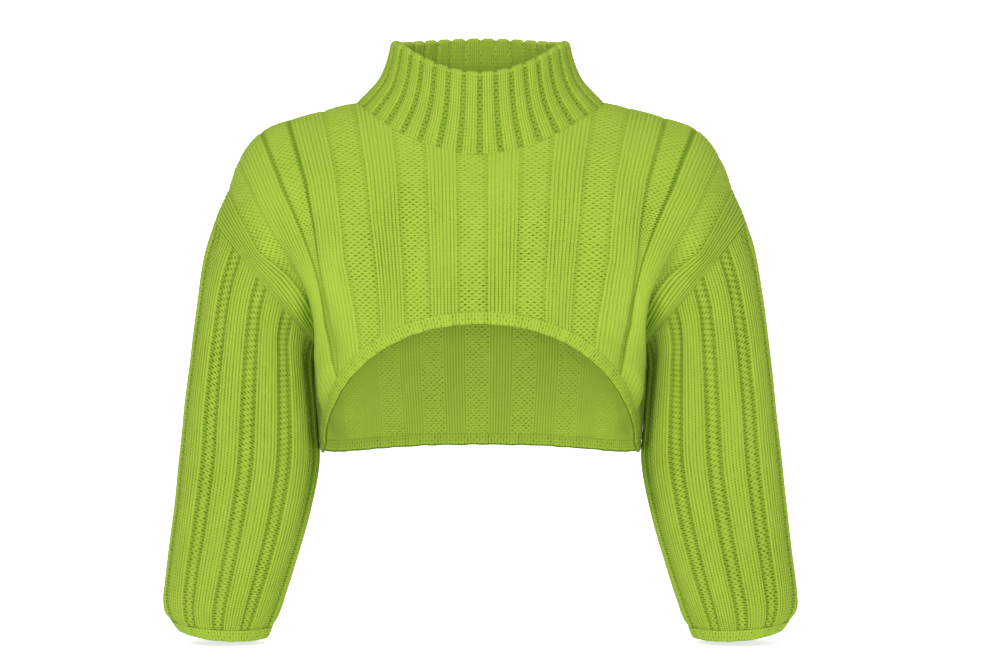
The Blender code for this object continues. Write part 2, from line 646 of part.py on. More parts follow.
def make_collar(name, front, back, material):
    marks = collar_marks()
    around = marks / COLLAR_REPEATS
    loops = [neck_seam_line(front, back)] + [collar_line(level) for level in COLLAR_LEVELS]
    stack = np.array([by_distance(loop, around) for loop in loops])
    shares = [line.share for line in COLLAR_LINES]
    points = np.array([by_distance(smooth_line(stack[:, column]), shares)
                       for column in range(len(marks))]).transpose(1, 0, 2)
    normals = surface_normals(points, True)
    normals[0] = [neck_direction(point) for point in points[0]]
    closed = np.vstack([points[0, -1:], points[0], points[0, :1]])
    around_seam = np.vstack([normals[0, -1:], normals[0], normals[0, :1]])
    points[0] += neck_gap_direction(closed, around_seam)[1:-1] * NECK_GAP / 2
    sink = 1 - rib_height(marks, COLLAR_KNIT_SHARE)
    rib = np.array([line.rib for line in COLLAR_LINES])
    depth = np.array([line.wall for line in COLLAR_LINES])
    drawn = np.array([line.drawn for line in COLLAR_LINES])
    outer = points - (drawn[:, None] + COLLAR_RIB * rib[:, None] * sink)[..., None] * normals
    inner = points - depth[:, None, None] * normals
    crest = (outer[-1] + inner[-1]) / 2 + unit(points[-1] - points[-2]) * COLLAR_CREST
    section = np.concatenate([outer, crest[None], inner[::-1]])
    return tube_wall(name, section, True, material, False)


# ---------------------------------------------------------------- materials and the whole
def knit_material(name, colour):
    material = bpy.data.materials.new(name)
    material.use_nodes = True
    shader = material.node_tree.nodes["Principled BSDF"]
    shader.inputs["Base Color"].default_value = (*colour, 1.0)
    shader.inputs["Roughness"].default_value = 0.92
    shader.inputs["Metallic"].default_value = 0.0
    material.diffuse_color = (*colour, 1.0)
    return material


def main():
    for old in list(bpy.data.objects):
        bpy.data.objects.remove(old, do_unlink=True)
    lime = (0.32, 0.50, 0.045)
    trim_lime = (0.29, 0.46, 0.04)
    front = panel_surface(FRONT)
    back = panel_surface(BACK)
    make_panel("front_panel", front, FRONT, knit_material("front_knit", lime))
    make_panel("back_panel", back, BACK, knit_material("back_knit", lime))
    make_hem_band("front_hem_band", front, FRONT, knit_material("front_hem_knit", trim_lime))
    make_hem_band("back_hem_band", back, BACK, knit_material("back_hem_knit", trim_lime))
    make_collar("collar", front, back, knit_material("collar_knit", lime))
    for side, word in ((LEFT, "left"), (RIGHT, "right")):
        make_sleeve(word + "_sleeve", side, knit_material(word + "_sleeve_knit", lime))
        make_cuff(word + "_cuff", side, knit_material(word + "_cuff_knit", trim_lime))


main()
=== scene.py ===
import math

import bpy
import numpy as np
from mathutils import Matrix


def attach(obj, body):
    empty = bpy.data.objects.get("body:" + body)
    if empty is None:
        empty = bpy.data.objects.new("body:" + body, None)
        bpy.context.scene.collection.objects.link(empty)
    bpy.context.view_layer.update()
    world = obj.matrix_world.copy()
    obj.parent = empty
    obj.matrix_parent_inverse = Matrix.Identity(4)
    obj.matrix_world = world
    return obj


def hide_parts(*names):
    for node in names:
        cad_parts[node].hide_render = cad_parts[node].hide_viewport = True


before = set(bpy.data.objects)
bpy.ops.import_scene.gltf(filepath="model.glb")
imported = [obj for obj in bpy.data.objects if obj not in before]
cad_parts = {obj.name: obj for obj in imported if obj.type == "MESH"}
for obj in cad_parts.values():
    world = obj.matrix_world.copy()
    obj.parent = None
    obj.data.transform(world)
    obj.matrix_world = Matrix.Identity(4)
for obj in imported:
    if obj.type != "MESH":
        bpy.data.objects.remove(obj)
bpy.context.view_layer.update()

# Everything below is worked out in millimetres and made metres when a mesh is written.
frontSide, backSide = -1, 1  # way a panel faces along Y
seamHair = 0.03  # half the space left where two pieces are sewn together
upward = np.array([0.0, 0.0, 1.0])


# small helpers for curves
def unit(vectors):
    return vectors / np.maximum(np.linalg.norm(vectors, axis=-1, keepdims=True), 1e-12)


def smoothStep(low, high, value):
    part = np.clip((value - low) / (high - low), 0.0, 1.0)
    return part * part * (3.0 - 2.0 * part)


def mix(a, b, share):
    return a + (b - a) * share


def runLength(line):
    return np.concatenate([[0], np.cumsum(np.linalg.norm(np.diff(line, axis=0), axis=1))])


def pointsAt(line, run, wanted):  # points at wanted distances along a polyline
    return np.stack([np.interp(wanted, run, line[:, axis]) for axis in range(line.shape[1])], axis=-1)


def byDistance(line, shares):
    run = runLength(line)
    return pointsAt(line, run, np.asarray(shares) * run[-1])


def smoothLine(points, steps=24):  # smooth curve through points, given as lines by anything by 3
    points = np.asarray(points, float)
    padded = np.concatenate([2 * points[:1] - points[1:2], points, 2 * points[-1:] - points[-2:-1]])
    fine = []
    for a, b, c, d in zip(padded, padded[1:], padded[2:], padded[3:]):
        for k in np.linspace(0, 1, steps, endpoint=False):
            fine.append(0.5 * (2 * b + (c - a) * k + (2 * a - 5 * b + 4 * c - d) * k ** 2
                               + (3 * b - a - 3 * c + d) * k ** 3))
    fine.append(points[-1])
    return np.array(fine)


def hermite(start, leave, end, arrive, k):
    return ((2 * k ** 3 - 3 * k ** 2 + 1) * start + (k ** 3 - 2 * k ** 2 + k) * leave
            + (3 * k ** 2 - 2 * k ** 3) * end + (k ** 3 - k ** 2) * arrive)


def gridNormals(points, closed):  # lines by columns by 3
    along = np.gradient(points, axis=0)
    if closed:
        across = np.roll(points, -1, axis=1) - np.roll(points, 1, axis=1)
    else:
        across = np.gradient(points, axis=1)
    return unit(np.cross(across, along))


def unevenness(a, b, seed):  # slow, even-tempered waviness between -1 and 1
    wave = np.sin(1.0 * a + 1.7 * seed) * np.cos(0.83 * b + 2.3 * seed)
    wave = wave + 0.6 * np.sin(1.9 * a - 1.3 * b + 0.9 * seed) + 0.4 * np.cos(2.7 * b + 1.1 * a + 4.1 * seed)
    return wave / 2.0


def stitchNoise(wale, course):  # steady value between 0 and 1 for each stitch
    value = np.sin(np.round(wale) * 12.9898 + np.round(course) * 78.233) * 43758.5453
    return value - np.floor(value)


# the rib knit: bands of knit and purl wales
# repeats are counted over half a panel or all round a tube, and a purl band lies back by the step
bodyRib = {"repeats": 4.75, "knitShare": 0.50, "knitWales": 8, "purlWales": 8, "ramp": 0.035, "course": 2.5,
           "raised": 0.7, "step": 1.3, "round": 0.5, "groove": 0.9, "pit": 0.85, "dotted": 0.5}
sleeveRib = {"repeats": 11, "offset": 0.25, "knitShare": 0.62, "knitWales": 7, "purlWales": 4, "ramp": 0.06,
             "course": 2.7, "raised": 0.9, "step": 3.0, "round": 0.9, "groove": 1.0, "pit": 1.0,
             "dotted": 0.55}
collarRib = {"repeats": 32, "offset": 0.0, "knitShare": 0.72, "knitWales": 5, "purlWales": 2, "ramp": 0.09,
             "course": 3.3, "raised": 0.5, "step": 2.8, "round": 0.9, "groove": 0.8, "pit": 0.9,
             "dotted": 0.4}
stitchLook = {"crest": 0.1, "pitEdge": 1.6, "purlShade": 0.12, "pitShade": 0.16, "knitShade": 0.05,
              "lineShade": 0.3}  # the same for all three ribs


def ribWales(rib):  # wales in all the repeats of a rib
    return rib["repeats"] * (rib["knitWales"] + rib["purlWales"])


def waleCount(repeats, rib):  # rib repeats to wales; whole numbers lie between two wales
    purlShare = 1 - rib["knitShare"]
    moved = repeats + purlShare / 2
    whole = np.floor(moved)
    part = moved - whole
    inPurl = part / purlShare * rib["purlWales"]
    inKnit = rib["purlWales"] + (part - purlShare) / rib["knitShare"] * rib["knitWales"]
    return whole * (rib["knitWales"] + rib["purlWales"]) + np.where(part < purlShare, inPurl, inKnit)


def knitMask(repeats, rib):  # 1 on a knit band, 0 on a purl band
    off = np.abs(np.mod(repeats, 1.0) - 0.5)
    return smoothStep(-rib["ramp"], rib["ramp"], rib["knitShare"] / 2 - off)


def bandBulge(repeats, rib):  # depth of the rounded shoulders of a knit band
    off = np.abs(np.mod(repeats, 1.0) - 0.5) / (rib["knitShare"] / 2)
    return np.clip(off, 0, 1) ** 3


def swell(turn):  # from 1 down to 0 and back over one turn
    return 0.5 + 0.5 * np.cos(turn)


def stitchDepth(wale, course, knit, rib, strength=1.0):  # depth of each point in its stitch, and its shade
    dot = swell(2 * math.pi * course)
    side = np.abs(np.mod(wale, 1.0) - 0.5) * 2
    noise = stitchNoise(wale, course)
    # knit: grooves between the wales, every other one a little deeper, broken into beads
    uneven = 0.84 + 0.16 * np.cos(math.pi * np.round(wale)) + 0.2 * unevenness(wale * 0.7, course * 0.23, 2.2)
    groove = smoothStep(0.35, 1.0, side) * uneven * strength
    beads = 1 - rib["dotted"] + rib["dotted"] * dot * (0.6 + 0.8 * noise)
    knitDepth = rib["groove"] * groove * beads + stitchLook["crest"] * (1 - groove) * (1 - dot)
    # purl: pits in every other wale, turned about from course to course
    turn = np.mod(np.round(course), 2.0)
    pit = swell(math.pi * (wale + turn)) ** stitchLook["pitEdge"] * dot
    patchy = 0.55 + 0.7 * noise + 0.3 * unevenness(wale * 0.5, course * 0.17, 4.4)
    pit = pit * patchy * mix(1.0, strength, 0.5)
    purlDepth = rib["pit"] * pit + stitchLook["crest"] * dot
    purlShade = stitchLook["purlShade"] + stitchLook["pitShade"] * pit
    knitShade = stitchLook["knitShade"] + stitchLook["lineShade"] * groove * beads
    return mix(purlDepth, knitDepth, knit), mix(purlShade, knitShade, knit)


def edgeDots(repeats, course, rib):  # the dotted line where a knit band meets a purl band
    off = (rib["knitShare"] / 2 - np.abs(np.mod(repeats, 1.0) - 0.5)) + rib["ramp"] * 0.8
    width = 0.55 * rib["knitShare"] / rib["knitWales"]
    return np.exp(-(off / width) ** 2) * (0.45 + 0.55 * swell(2 * math.pi * course))


def bandRelief(repeats, knit, rib):  # purl bands lie back, and knit bands fall off at their sides
    return rib["step"] * (1 - knit) + rib["round"] * knit * bandBulge(repeats, rib)


# meshes
def zipSides(first, second, firstShare, secondShare):  # triangles between two open lines of points
    faces = []
    a, b = 0, 0
    while a < len(first) - 1 or b < len(second) - 1:
        secondDone = b == len(second) - 1
        if secondDone or (a < len(first) - 1 and firstShare[a + 1] <= secondShare[b + 1]):
            if first[a] != first[a + 1]:
                faces.append((first[a], first[a + 1], second[b]))
            a += 1
        else:
            if second[b] != second[b + 1]:
                faces.append((first[a], second[b + 1], second[b]))
            b += 1
    return faces


def gridFaces(index, closed, flip):  # quads, or triangles where two corners are one point
    lines, columns = index.shape
    last = columns if closed else columns - 1
    left = index[:, np.arange(last)]
    right = index[:, (np.arange(last) + 1) % columns]
    quads = np.stack([left[:-1], right[:-1], right[1:], left[1:]], axis=-1).reshape(-1, 4)
    faces = []
    for a, b, c, d in quads.tolist():
        face = []
        for corner in (a, b, c, d):
            if corner not in face:
                face.append(corner)
        if len(face) > 2:
            faces.append(tuple(face[::-1]) if flip else tuple(face))
    return faces


def stitchSpots(wale, courses):  # wale and course of every point, for the wool's map
    return np.stack([np.broadcast_to(wale, courses.shape), courses], axis=-1).reshape(-1, 2)


def lookOf(knit, shade, strength):  # what the wool reads at each point
    knit, shade, strength = np.broadcast_arrays(knit, shade, strength)
    return np.stack([knit, shade, strength], axis=-1).reshape(-1, 3)


def makeCloth(name, points, faces, stitches, look, total, material, borders):
    mesh = bpy.data.meshes.new(name)
    mesh.from_pydata((points * 0.001).tolist(), [], faces)
    mesh.update()
    mesh.polygons.foreach_set("use_smooth", np.ones(len(mesh.polygons), bool))
    corners = np.empty(len(mesh.loops), int)
    mesh.loops.foreach_get("vertex_index", corners)
    starts = np.empty(len(mesh.polygons), int)
    counts = np.empty(len(mesh.polygons), int)
    mesh.polygons.foreach_get("loop_start", starts)
    mesh.polygons.foreach_get("loop_total", counts)
    spot = stitches[corners]
    if total:  # a face that closes the round takes its last wale, not the first
        most = np.maximum.reduceat(spot[:, 0], starts)
        spot[:, 0] += total * (np.repeat(most, counts) - spot[:, 0] > total / 2)
    layer = mesh.uv_layers.new(name="stitches")
    layer.uv.foreach_set("vector", spot.astype(np.float32).ravel())
    for label, values in zip(("knit", "shade", "strength"), look.T):
        attribute = mesh.attributes.new(label, "FLOAT", "POINT")
        attribute.data.foreach_set("value", values.astype(np.float32))
    ends = np.empty(2 * len(mesh.edges), int)
    mesh.edges.foreach_get("vertices", ends)
    ends = borders[ends.reshape(-1, 2)]  # which border each end of an edge lies on, 0 for none
    sharp = mesh.attributes.new("sharp_edge", "BOOLEAN", "EDGE")
    sharp.data.foreach_set("value", (ends[:, 0] == ends[:, 1]) & (ends[:, 0] > 0))
    mesh.materials.append(material)
    piece = bpy.data.objects.new(name, mesh)
    bpy.context.scene.collection.objects.link(piece)
    print(name, len(mesh.polygons), "faces")
    return piece


def clothArea(points, closed):  # flat area of a grid of points, in square metres
    if closed:
        points = np.concatenate([points, points[:, :1]], axis=1)
    first = points[:-1, 1:] - points[1:, :-1]
    second = points[1:, 1:] - points[:-1, :-1]
    return float(np.linalg.norm(np.cross(first, second), axis=-1).sum()) / 2e6


# the finish: lime wool with a soft nap
def setInputs(node, values):
    for label, value in values.items():
        node.inputs[label].default_value = value


def addNode(tree, kind, place, **inputs):
    node = tree.nodes.new(kind)
    node.location = place
    setInputs(node, inputs)
    return node


def addMath(tree, operation, place, *values):  # values are numbers or other nodes' outputs
    node = addNode(tree, "ShaderNodeMath", place)
    node.operation = operation
    for socket, value in zip(node.inputs, values):
        if isinstance(value, (int, float)):
            socket.default_value = value
        else:
            tree.links.new(value, socket)
    return node.outputs[0]


def newGroup(name, inputs, outputs):  # a shader group with plain number sockets
    group = bpy.data.node_groups.new(name, "ShaderNodeTree")
    for label in inputs:
        group.interface.new_socket(label, in_out="INPUT", socket_type="NodeSocketFloat")
    for label in outputs:
        group.interface.new_socket(label, in_out="OUTPUT", socket_type="NodeSocketFloat")
    entry = addNode(group, "NodeGroupInput", (-1500, 0))
    leave = addNode(group, "NodeGroupOutput", (1000, 0))
    return group, entry, leave


def buildStitchGroup():  # the single stitches, from wale and course
    inputs = ("Wale", "Course", "Knit", "Strength", "Dotted")
    group, entry, leave = newGroup("woolStitch", inputs, ("Height", "Gap"))
    wale, course, knit, strength, dotted = (entry.outputs[label] for label in inputs)

    def calc(operation, place, *values):
        return addMath(group, operation, place, *values)

    def cosine(place, value, times):  # cosine of a value, scaled first
        return calc("COSINE", place, calc("MULTIPLY", (place[0] - 150, place[1]), value, times))

    inWale = calc("FRACT", (-1000, 200), wale)
    offMiddle = calc("SUBTRACT", (-850, 200), inWale, 0.5)
    fromMiddle = calc("ABSOLUTE", (-700, 200), offMiddle)
    # each stitch is a little paler or darker than the next
    cell = addNode(group, "ShaderNodeCombineXYZ", (-1150, 600))
    group.links.new(calc("ROUND", (-1300, 650), wale), cell.inputs["X"])
    row = calc("ROUND", (-1300, 500), course)
    group.links.new(row, cell.inputs["Y"])
    chance = addNode(group, "ShaderNodeTexWhiteNoise", (-1000, 600))
    chance.noise_dimensions = "2D"
    group.links.new(cell.outputs["Vector"], chance.inputs["Vector"])
    uneven = calc("MULTIPLY_ADD", (-850, 600), chance.outputs["Value"], 0.8, 0.6)
    wave = cosine((-1150, 400), course, 2 * math.pi)
    dot = calc("MULTIPLY_ADD", (-1000, 400), wave, 0.5, 0.5)
    # knit side: two legs that lean together, one stitch for each course, and painted shade between two wales
    slanted = calc("MULTIPLY_ADD", (-500, 250), fromMiddle, -1.6, course)
    leg = cosine((-200, 250), slanted, 2 * math.pi)
    legHeight = calc("MULTIPLY_ADD", (-50, 250), leg, 0.28, 0.5)
    apart = calc("MULTIPLY", (-500, 80), fromMiddle, 5.0)
    split = calc("SMOOTH_MIN", (-350, 80), apart, 1.0, 0.2)
    knitHeight = calc("MULTIPLY", (150, 250), legHeight, split)
    line = addNode(group, "ShaderNodeMapRange", (-500, 500), **{"From Min": 0.24, "From Max": 0.5})
    line.interpolation_type = "SMOOTHSTEP"
    group.links.new(fromMiddle, line.inputs["Value"])
    plain = calc("SUBTRACT", (-700, 650), 1.0, dotted)
    bead = calc("MULTIPLY", (-550, 650), dot, uneven)
    beads = calc("MULTIPLY_ADD", (-400, 650), bead, dotted, plain)
    beaded = calc("MULTIPLY", (-350, 500), line.outputs["Result"], beads)
    knitGap = calc("MULTIPLY", (-200, 500), beaded, strength)
    # purl side: short arcs, each over the gap of the row below, with painted shade in the pits
    turned = calc("FLOORED_MODULO", (-1150, -300), row, 2.0)
    shifted = calc("ADD", (-1000, -300), wale, turned)
    beside = cosine((-700, -300), shifted, math.pi)
    across = calc("MULTIPLY_ADD", (-550, -300), beside, 0.5, 0.5)
    narrow = calc("POWER", (-400, -300), across, 2.2)
    pit = calc("MULTIPLY", (-250, -300), narrow, dot)
    dent = calc("MULTIPLY", (-100, -300), pit, uneven)
    purlGap = calc("MULTIPLY", (50, -300), dent, strength)
    curve = cosine((-700, -500), wale, math.pi)
    arched = calc("MULTIPLY_ADD", (-550, -500), curve, 0.16, course)
    arc = cosine((-250, -500), arched, 2 * math.pi)
    purlHeight = calc("MULTIPLY_ADD", (0, -500), arc, -0.32, 0.5)
    for label, purl, plainSide, place in (("Height", purlHeight, knitHeight, (500, 100)),
                                          ("Gap", purlGap, knitGap, (500, -200))):
        both = addNode(group, "ShaderNodeMix", place)
        group.links.new(knit, both.inputs["Factor"])
        group.links.new(purl, both.inputs["A"])
        group.links.new(plainSide, both.inputs["B"])
        group.links.new(both.outputs["Result"], leave.inputs[label])
    return group


def buildNapGroup():  # short fibres and uneven dye
    group, entry, leave = newGroup("woolNap", ("Scale",), ("Fibres", "Cloudy"))
    where = addNode(group, "ShaderNodeTexCoord", (-800, -250))
    fibres = addNode(group, "ShaderNodeTexNoise", (-400, 150), Detail=4.0, Roughness=0.7)
    cloudy = addNode(group, "ShaderNodeTexNoise", (-400, -200), Scale=22.0, Detail=3.0)
    group.links.new(where.outputs["Object"], fibres.inputs["Vector"])
    group.links.new(where.outputs["Object"], cloudy.inputs["Vector"])
    group.links.new(entry.outputs["Scale"], fibres.inputs["Scale"])
    group.links.new(fibres.outputs["Fac"], leave.inputs["Fibres"])
    group.links.new(cloudy.outputs["Fac"], leave.inputs["Cloudy"])
    return group


woolLook = {"light": (0.312, 0.433, 0.046), "deep": (0.062, 0.135, 0.0), "knitLine": 0.55,
            "cloud": 0.16, "fleck": 0.3, "napScale": 900.0, "stitchBump": 0.7, "stitchRelief": 0.0007,
            "fibreBump": 0.5, "fibreRelief": 0.0004, "roughness": 0.95, "specular": 0.08, "sheen": 0.06,
            "sheenRoughness": 0.45, "sheenTint": (0.75, 0.9, 0.35)}


def addAttribute(tree, name, place):
    node = addNode(tree, "ShaderNodeAttribute", place)
    node.attribute_name = name
    return node.outputs["Fac"]


def addGroup(tree, group, place):
    node = tree.nodes.new("ShaderNodeGroup")
    node.node_tree = group
    node.location = place
    return node


def makeWool(name, dotted, look=woolLook):
    material = bpy.data.materials.new(name)
    material.use_nodes = True
    tree = material.node_tree
    shader = tree.nodes["Principled BSDF"]
    shader.location = (900, 0)
    tree.nodes["Material Output"].location = (1250, 0)
    spot = addNode(tree, "ShaderNodeUVMap", (-1100, 0))
    spot.uv_map = "stitches"
    parts = addNode(tree, "ShaderNodeSeparateXYZ", (-900, 0))
    tree.links.new(spot.outputs["UV"], parts.inputs["Vector"])
    shade = addAttribute(tree, "shade", (-900, 300))
    stitch = addGroup(tree, stitchGroup, (-600, 0))
    stitch.inputs["Dotted"].default_value = dotted
    tree.links.new(addAttribute(tree, "strength", (-900, -450)), stitch.inputs["Strength"])
    tree.links.new(parts.outputs["X"], stitch.inputs["Wale"])
    tree.links.new(parts.outputs["Y"], stitch.inputs["Course"])
    tree.links.new(addAttribute(tree, "knit", (-900, -250)), stitch.inputs["Knit"])
    nap = addGroup(tree, napGroup, (-600, -300))
    nap.inputs["Scale"].default_value = look["napScale"]
    # colour: painted shade, deeper green in the gaps between stitches and paler on the crests
    gap = addMath(tree, "MULTIPLY", (-350, 150), stitch.outputs["Gap"], look["knitLine"])
    hollow = addMath(tree, "ADD", (-180, 250), shade, gap)
    uneven = []
    for label, height, share in (("Cloudy", 50, look["cloud"]), ("Fibres", -80, look["fleck"])):
        uneven.append(addMath(tree, "MULTIPLY_ADD", (-180, height), nap.outputs[label], share, -share / 2))
    amount = addMath(tree, "ADD", (20, 200), hollow, addMath(tree, "ADD", (-20, 0), *uneven))
    ramp = addNode(tree, "ShaderNodeValToRGB", (250, 250))
    for element, tint in zip(ramp.color_ramp.elements, (look["light"], look["deep"])):
        element.color = (*tint, 1)
    tree.links.new(amount, ramp.inputs["Fac"])
    tree.links.new(ramp.outputs["Color"], shader.inputs["Base Color"])
    # relief
    first = addNode(tree, "ShaderNodeBump", (400, -250), Strength=look["stitchBump"])
    second = addNode(tree, "ShaderNodeBump", (620, -250), Strength=look["fibreBump"])
    setInputs(first, {"Distance": look["stitchRelief"]})
    setInputs(second, {"Distance": look["fibreRelief"]})
    tree.links.new(stitch.outputs["Height"], first.inputs["Height"])
    tree.links.new(nap.outputs["Fibres"], second.inputs["Height"])
    tree.links.new(first.outputs["Normal"], second.inputs["Normal"])
    tree.links.new(second.outputs["Normal"], shader.inputs["Normal"])
    setInputs(shader, {"Roughness": look["roughness"], "Specular IOR Level": look["specular"],
                       "Sheen Weight": look["sheen"], "Sheen Roughness": look["sheenRoughness"],
                       "Sheen Tint": (*look["sheenTint"], 1)})
    return material


stitchGroup = buildStitchGroup()
napGroup = buildNapGroup()
print("wool ready")

# form of the body, the same curves as the solids
armholeTop, armholeBottom = np.array([255.0, 0.0, -109.0]), np.array([156.5, 0.0, -228.0])
armholeMiddle = (armholeTop + armholeBottom) / 2
armholeHalf = float(np.linalg.norm(armholeTop - armholeBottom)) / 2
armholeSlope = (armholeTop - armholeMiddle) / armholeHalf
armholeAxis = np.array([armholeSlope[2], 0.0, -armholeSlope[0]])

bodyForm = {
    "shoulderLine": [(0, 15), (62, 12), (119, 4.5), (148, -2.2), (178, -10.2), (203, -19), (218, -31),
                     (232.5, -53), (243, -82), (255, -109)],
    "hemLine": [(0, 3), (60, 2), (110, -1), (138, -2.5), (151, -0.5), (158, 2)],
    "neckHalfWidth": 119.0, "neckDepth": {frontSide: 80.0, backSide: 71.0},
    "hemZ": -329.0, "trimWidth": 11.0, "archHalfWidth": 151.0, "archRise": 121.5, "archPower": 2.1,
    "archCorner": 138.0, "sideSwell": 0.22,
    "fullness": {frontSide: 0.86, backSide: 1.45}, "wall": 3.6,
    # centre y, z, reach, turn x, y, z, edge x, y, z, spread
    "sections": {
        frontSide: {"chest": (-114, -160, 118, 186, -86, -164, armholeMiddle[0], -60, armholeMiddle[2], 1.16),
                    "underarm": (-113, -250, 104, 158, -76, -256, 156.5, 0, -228, 1.10),
                    "hem": (-109, -329, 100, 154, -72, -329, 154, 0, -329, 1.0)},
        backSide: {"chest": (98, -160, 112, 184, 80, -164, armholeMiddle[0], 60, armholeMiddle[2], 1.10),
                   "underarm": (96, -250, 102, 158, 66, -256, 156.5, 0, -228, 1.05),
                   "hem": (98, -329, 100, 154, 64, -329, 154, 0, -329, 1.0)}},
    # creases: place in rib repeats, lean, low row, high row, depth, width
    "creases": [(3.02, -0.05, 0.16, 0.78, 4.5, 0.36), (4.06, 0.04, 0.26, 0.70, 13.0, 0.32),
                (2.05, -0.20, 0.20, 0.60, 1.6, 0.50), (3.58, 0.0, -0.12, 0.52, -6.5, 0.40)],
    "ribPlace": {frontSide: (0.13, 0.0), backSide: (0.08, 0.5)},  # offset at the middle, shift
    "bandSides": [1.25, 1.75, 2.25, 2.75, 3.25, 3.75, 4.25],  # in repeats, where the bands run straight
    # height, and where those sides lie there
    "bandPlaces": [(0, 1.25, 1.75, 2.25, 2.75, 3.25, 3.75, 4.25),
                   (-79, 1.26, 1.78, 2.30, 2.80, 3.25, 3.76, 4.25),
                   (-120, 1.30, 1.83, 2.38, 2.92, 3.20, 3.72, 4.25),
                   (-150, 1.30, 1.84, 2.46, 3.04, 3.17, 3.66, 4.08),
                   (-180, 1.29, 1.83, 2.42, 3.12, 3.19, 3.62, 3.88),
                   (-210, 1.28, 1.80, 2.32, 3.13, 3.19, 3.68, 3.78),
                   (-245, 1.26, 1.77, 2.22, 2.95, 3.00, 3.86, 3.94),
                   (-340, 1.25, 1.75, 2.20, 2.76, 2.81, 3.96, 4.04)],
    "heightAt": 0.66,  # share across the panel at which those heights are read
    "backCreases": 0.7,
    # names that begin with in are for the inner face
    "inStitch": 0.35, "inRib": 0.5, "inShade": 0.15, "level": 0.5, "seamDepth": 0.3,
    "foldAt": 3.02, "foldWidth": 0.3,  # the purl band that closes in the underarm fold, in repeats
    # the side shade is painted shade at the panel's side where the sleeve hangs against it
    "dotDepth": 0.15, "foldDotDepth": 0.6, "dotShade": 0.2, "foldDotShade": 1.1, "paintedSideShade": 0.35,
    # the underarm shade is painted shade in the corner under the arm
    "underarmShadeAt": (164, -207), "underarmShadeSize": (9, 22), "paintedUnderarmShade": 0.45,  # dark corner under the arm: x and z
}


def seamTurn(mirror):  # turns a direction of the left side into one of either side
    return np.stack([mirror, 0 * mirror + 1, 0 * mirror + 1], axis=-1)


def sectionPoints(section, across):
    centreY, centreZ, reach, *rest = section
    turn, edge, spread = np.array(rest[:3]), np.array(rest[3:6]), rest[6]
    k = np.linspace(0, 1, 240)[:, None]
    line = ((1 - k) ** 3 * np.array([0, centreY, centreZ])
            + 3 * k * (1 - k) ** 2 * np.array([reach, centreY, centreZ])
            + 3 * k ** 2 * (1 - k) * turn + k ** 3 * edge)
    return byDistance(line, across * (spread - (spread - 1) * across))


shoulderCurve = smoothLine([(x, 0.0, z) for x, z in bodyForm["shoulderLine"]])
neckShare = float(np.interp(bodyForm["neckHalfWidth"], shoulderCurve[:, 0], runLength(shoulderCurve))
                  / runLength(shoulderCurve)[-1])


def waleLines(across, facing, steps=56):  # fine lines from the hem up to the shoulder line
    hem, underarm, chest = (sectionPoints(bodyForm["sections"][facing][name], across)
                            for name in ("hem", "underarm", "chest"))
    shoulder = byDistance(shoulderCurve, across)
    edge = smoothStep(0.70, 1.0, across)[:, None]
    settle = smoothStep(0.86, 1.0, across)[:, None]
    forward = np.stack([-0.08 * across * (1 - across), facing + 0 * across, 0 * across], axis=-1)
    inward = across ** 2.2
    down = np.stack([-armholeSlope[0] * inward, 0 * across, -mix(1.0, armholeSlope[2], inward)], axis=-1)
    around = np.stack([-0.12 * across * (1 - edge[:, 0]), -facing * edge[:, 0], edge[:, 0] - 1.02], axis=-1)
    down, around = unit(down), unit(around)

    def reachY(a, b):
        return math.pi / 2 * np.abs(a - b)[:, 1:2]

    def reachXZ(a, b):
        return math.pi / 2 * np.hypot(*(a - b)[:, ::2].T)[:, None]

    full = mix(bodyForm["fullness"][facing], 1.0, across[:, None])
    midRun = np.linalg.norm(chest - underarm, axis=1, keepdims=True)
    lowRun = np.linalg.norm(underarm - hem, axis=1, keepdims=True)
    shares = np.linspace(0, 1, steps + 1)
    upper = [hermite(shoulder, forward * reachY(shoulder, chest) * full,
                     chest, down * reachXZ(shoulder, chest) * full, k) for k in shares[:-1]]
    middle = [hermite(chest, down * mix(midRun, reachXZ(chest, underarm), edge),
                      underarm, around * mix(midRun, reachY(chest, underarm), edge), k) for k in shares[:-1]]
    below = unit(mix(around, np.array([bodyForm["sideSwell"], 0, -1]), settle))
    lower = [hermite(underarm, below * lowRun, hem, -upward * lowRun, k) for k in shares]
    return np.array(upper + middle + lower)[::-1]


def crossing(run, height):  # distance at which the height passes up through zero
    above = np.flatnonzero((height[:-1] <= 0) & (height[1:] > 0))
    if len(above) == 0:
        return run[-1]
    k = above[-1]
    return mix(run[k], run[k + 1], height[k] / (height[k] - height[k + 1]))


hemCurve = smoothLine([(x, lift, 0) for x, lift in bodyForm["hemLine"]])


def hemHeight(line, facing):  # height of the band's upper edge above every point of a line
    fromCentre = np.abs(line[:, 0])
    lift = np.interp(fromCentre, hemCurve[:, 0], hemCurve[:, 1])
    if facing == frontSide:
        inside = np.clip(1 - (fromCentre / bodyForm["archHalfWidth"]) ** bodyForm["archPower"], 0, 1)
        lift = lift * smoothStep(bodyForm["archCorner"], bodyForm["archHalfWidth"], fromCentre)
        lift = lift + bodyForm["archRise"] * inside ** (1 / bodyForm["archPower"])
    return bodyForm["hemZ"] + bodyForm["trimWidth"] + lift


def hemAt(line, run, facing):  # distance along a wale at which it leaves the hem band
    return crossing(run, line[:, 2] - hemHeight(line, facing))


def neckAt(line, run, share, facing):  # distance at which it meets the neckline, or else the shoulder
    if share >= neckShare - 1e-6:
        return run[-1]
    x, y = line[:, 0] / bodyForm["neckHalfWidth"], line[:, 1] / bodyForm["neckDepth"][facing]
    return crossing(run, -(x ** 2 + y ** 2 - 1))


def bodyRepeats(across, facing):  # the front's middle band is purl and the back's is knit
    offset, shift = bodyForm["ribPlace"][facing]
    return across * bodyRib["repeats"] + offset * (1 - np.abs(across)) + shift


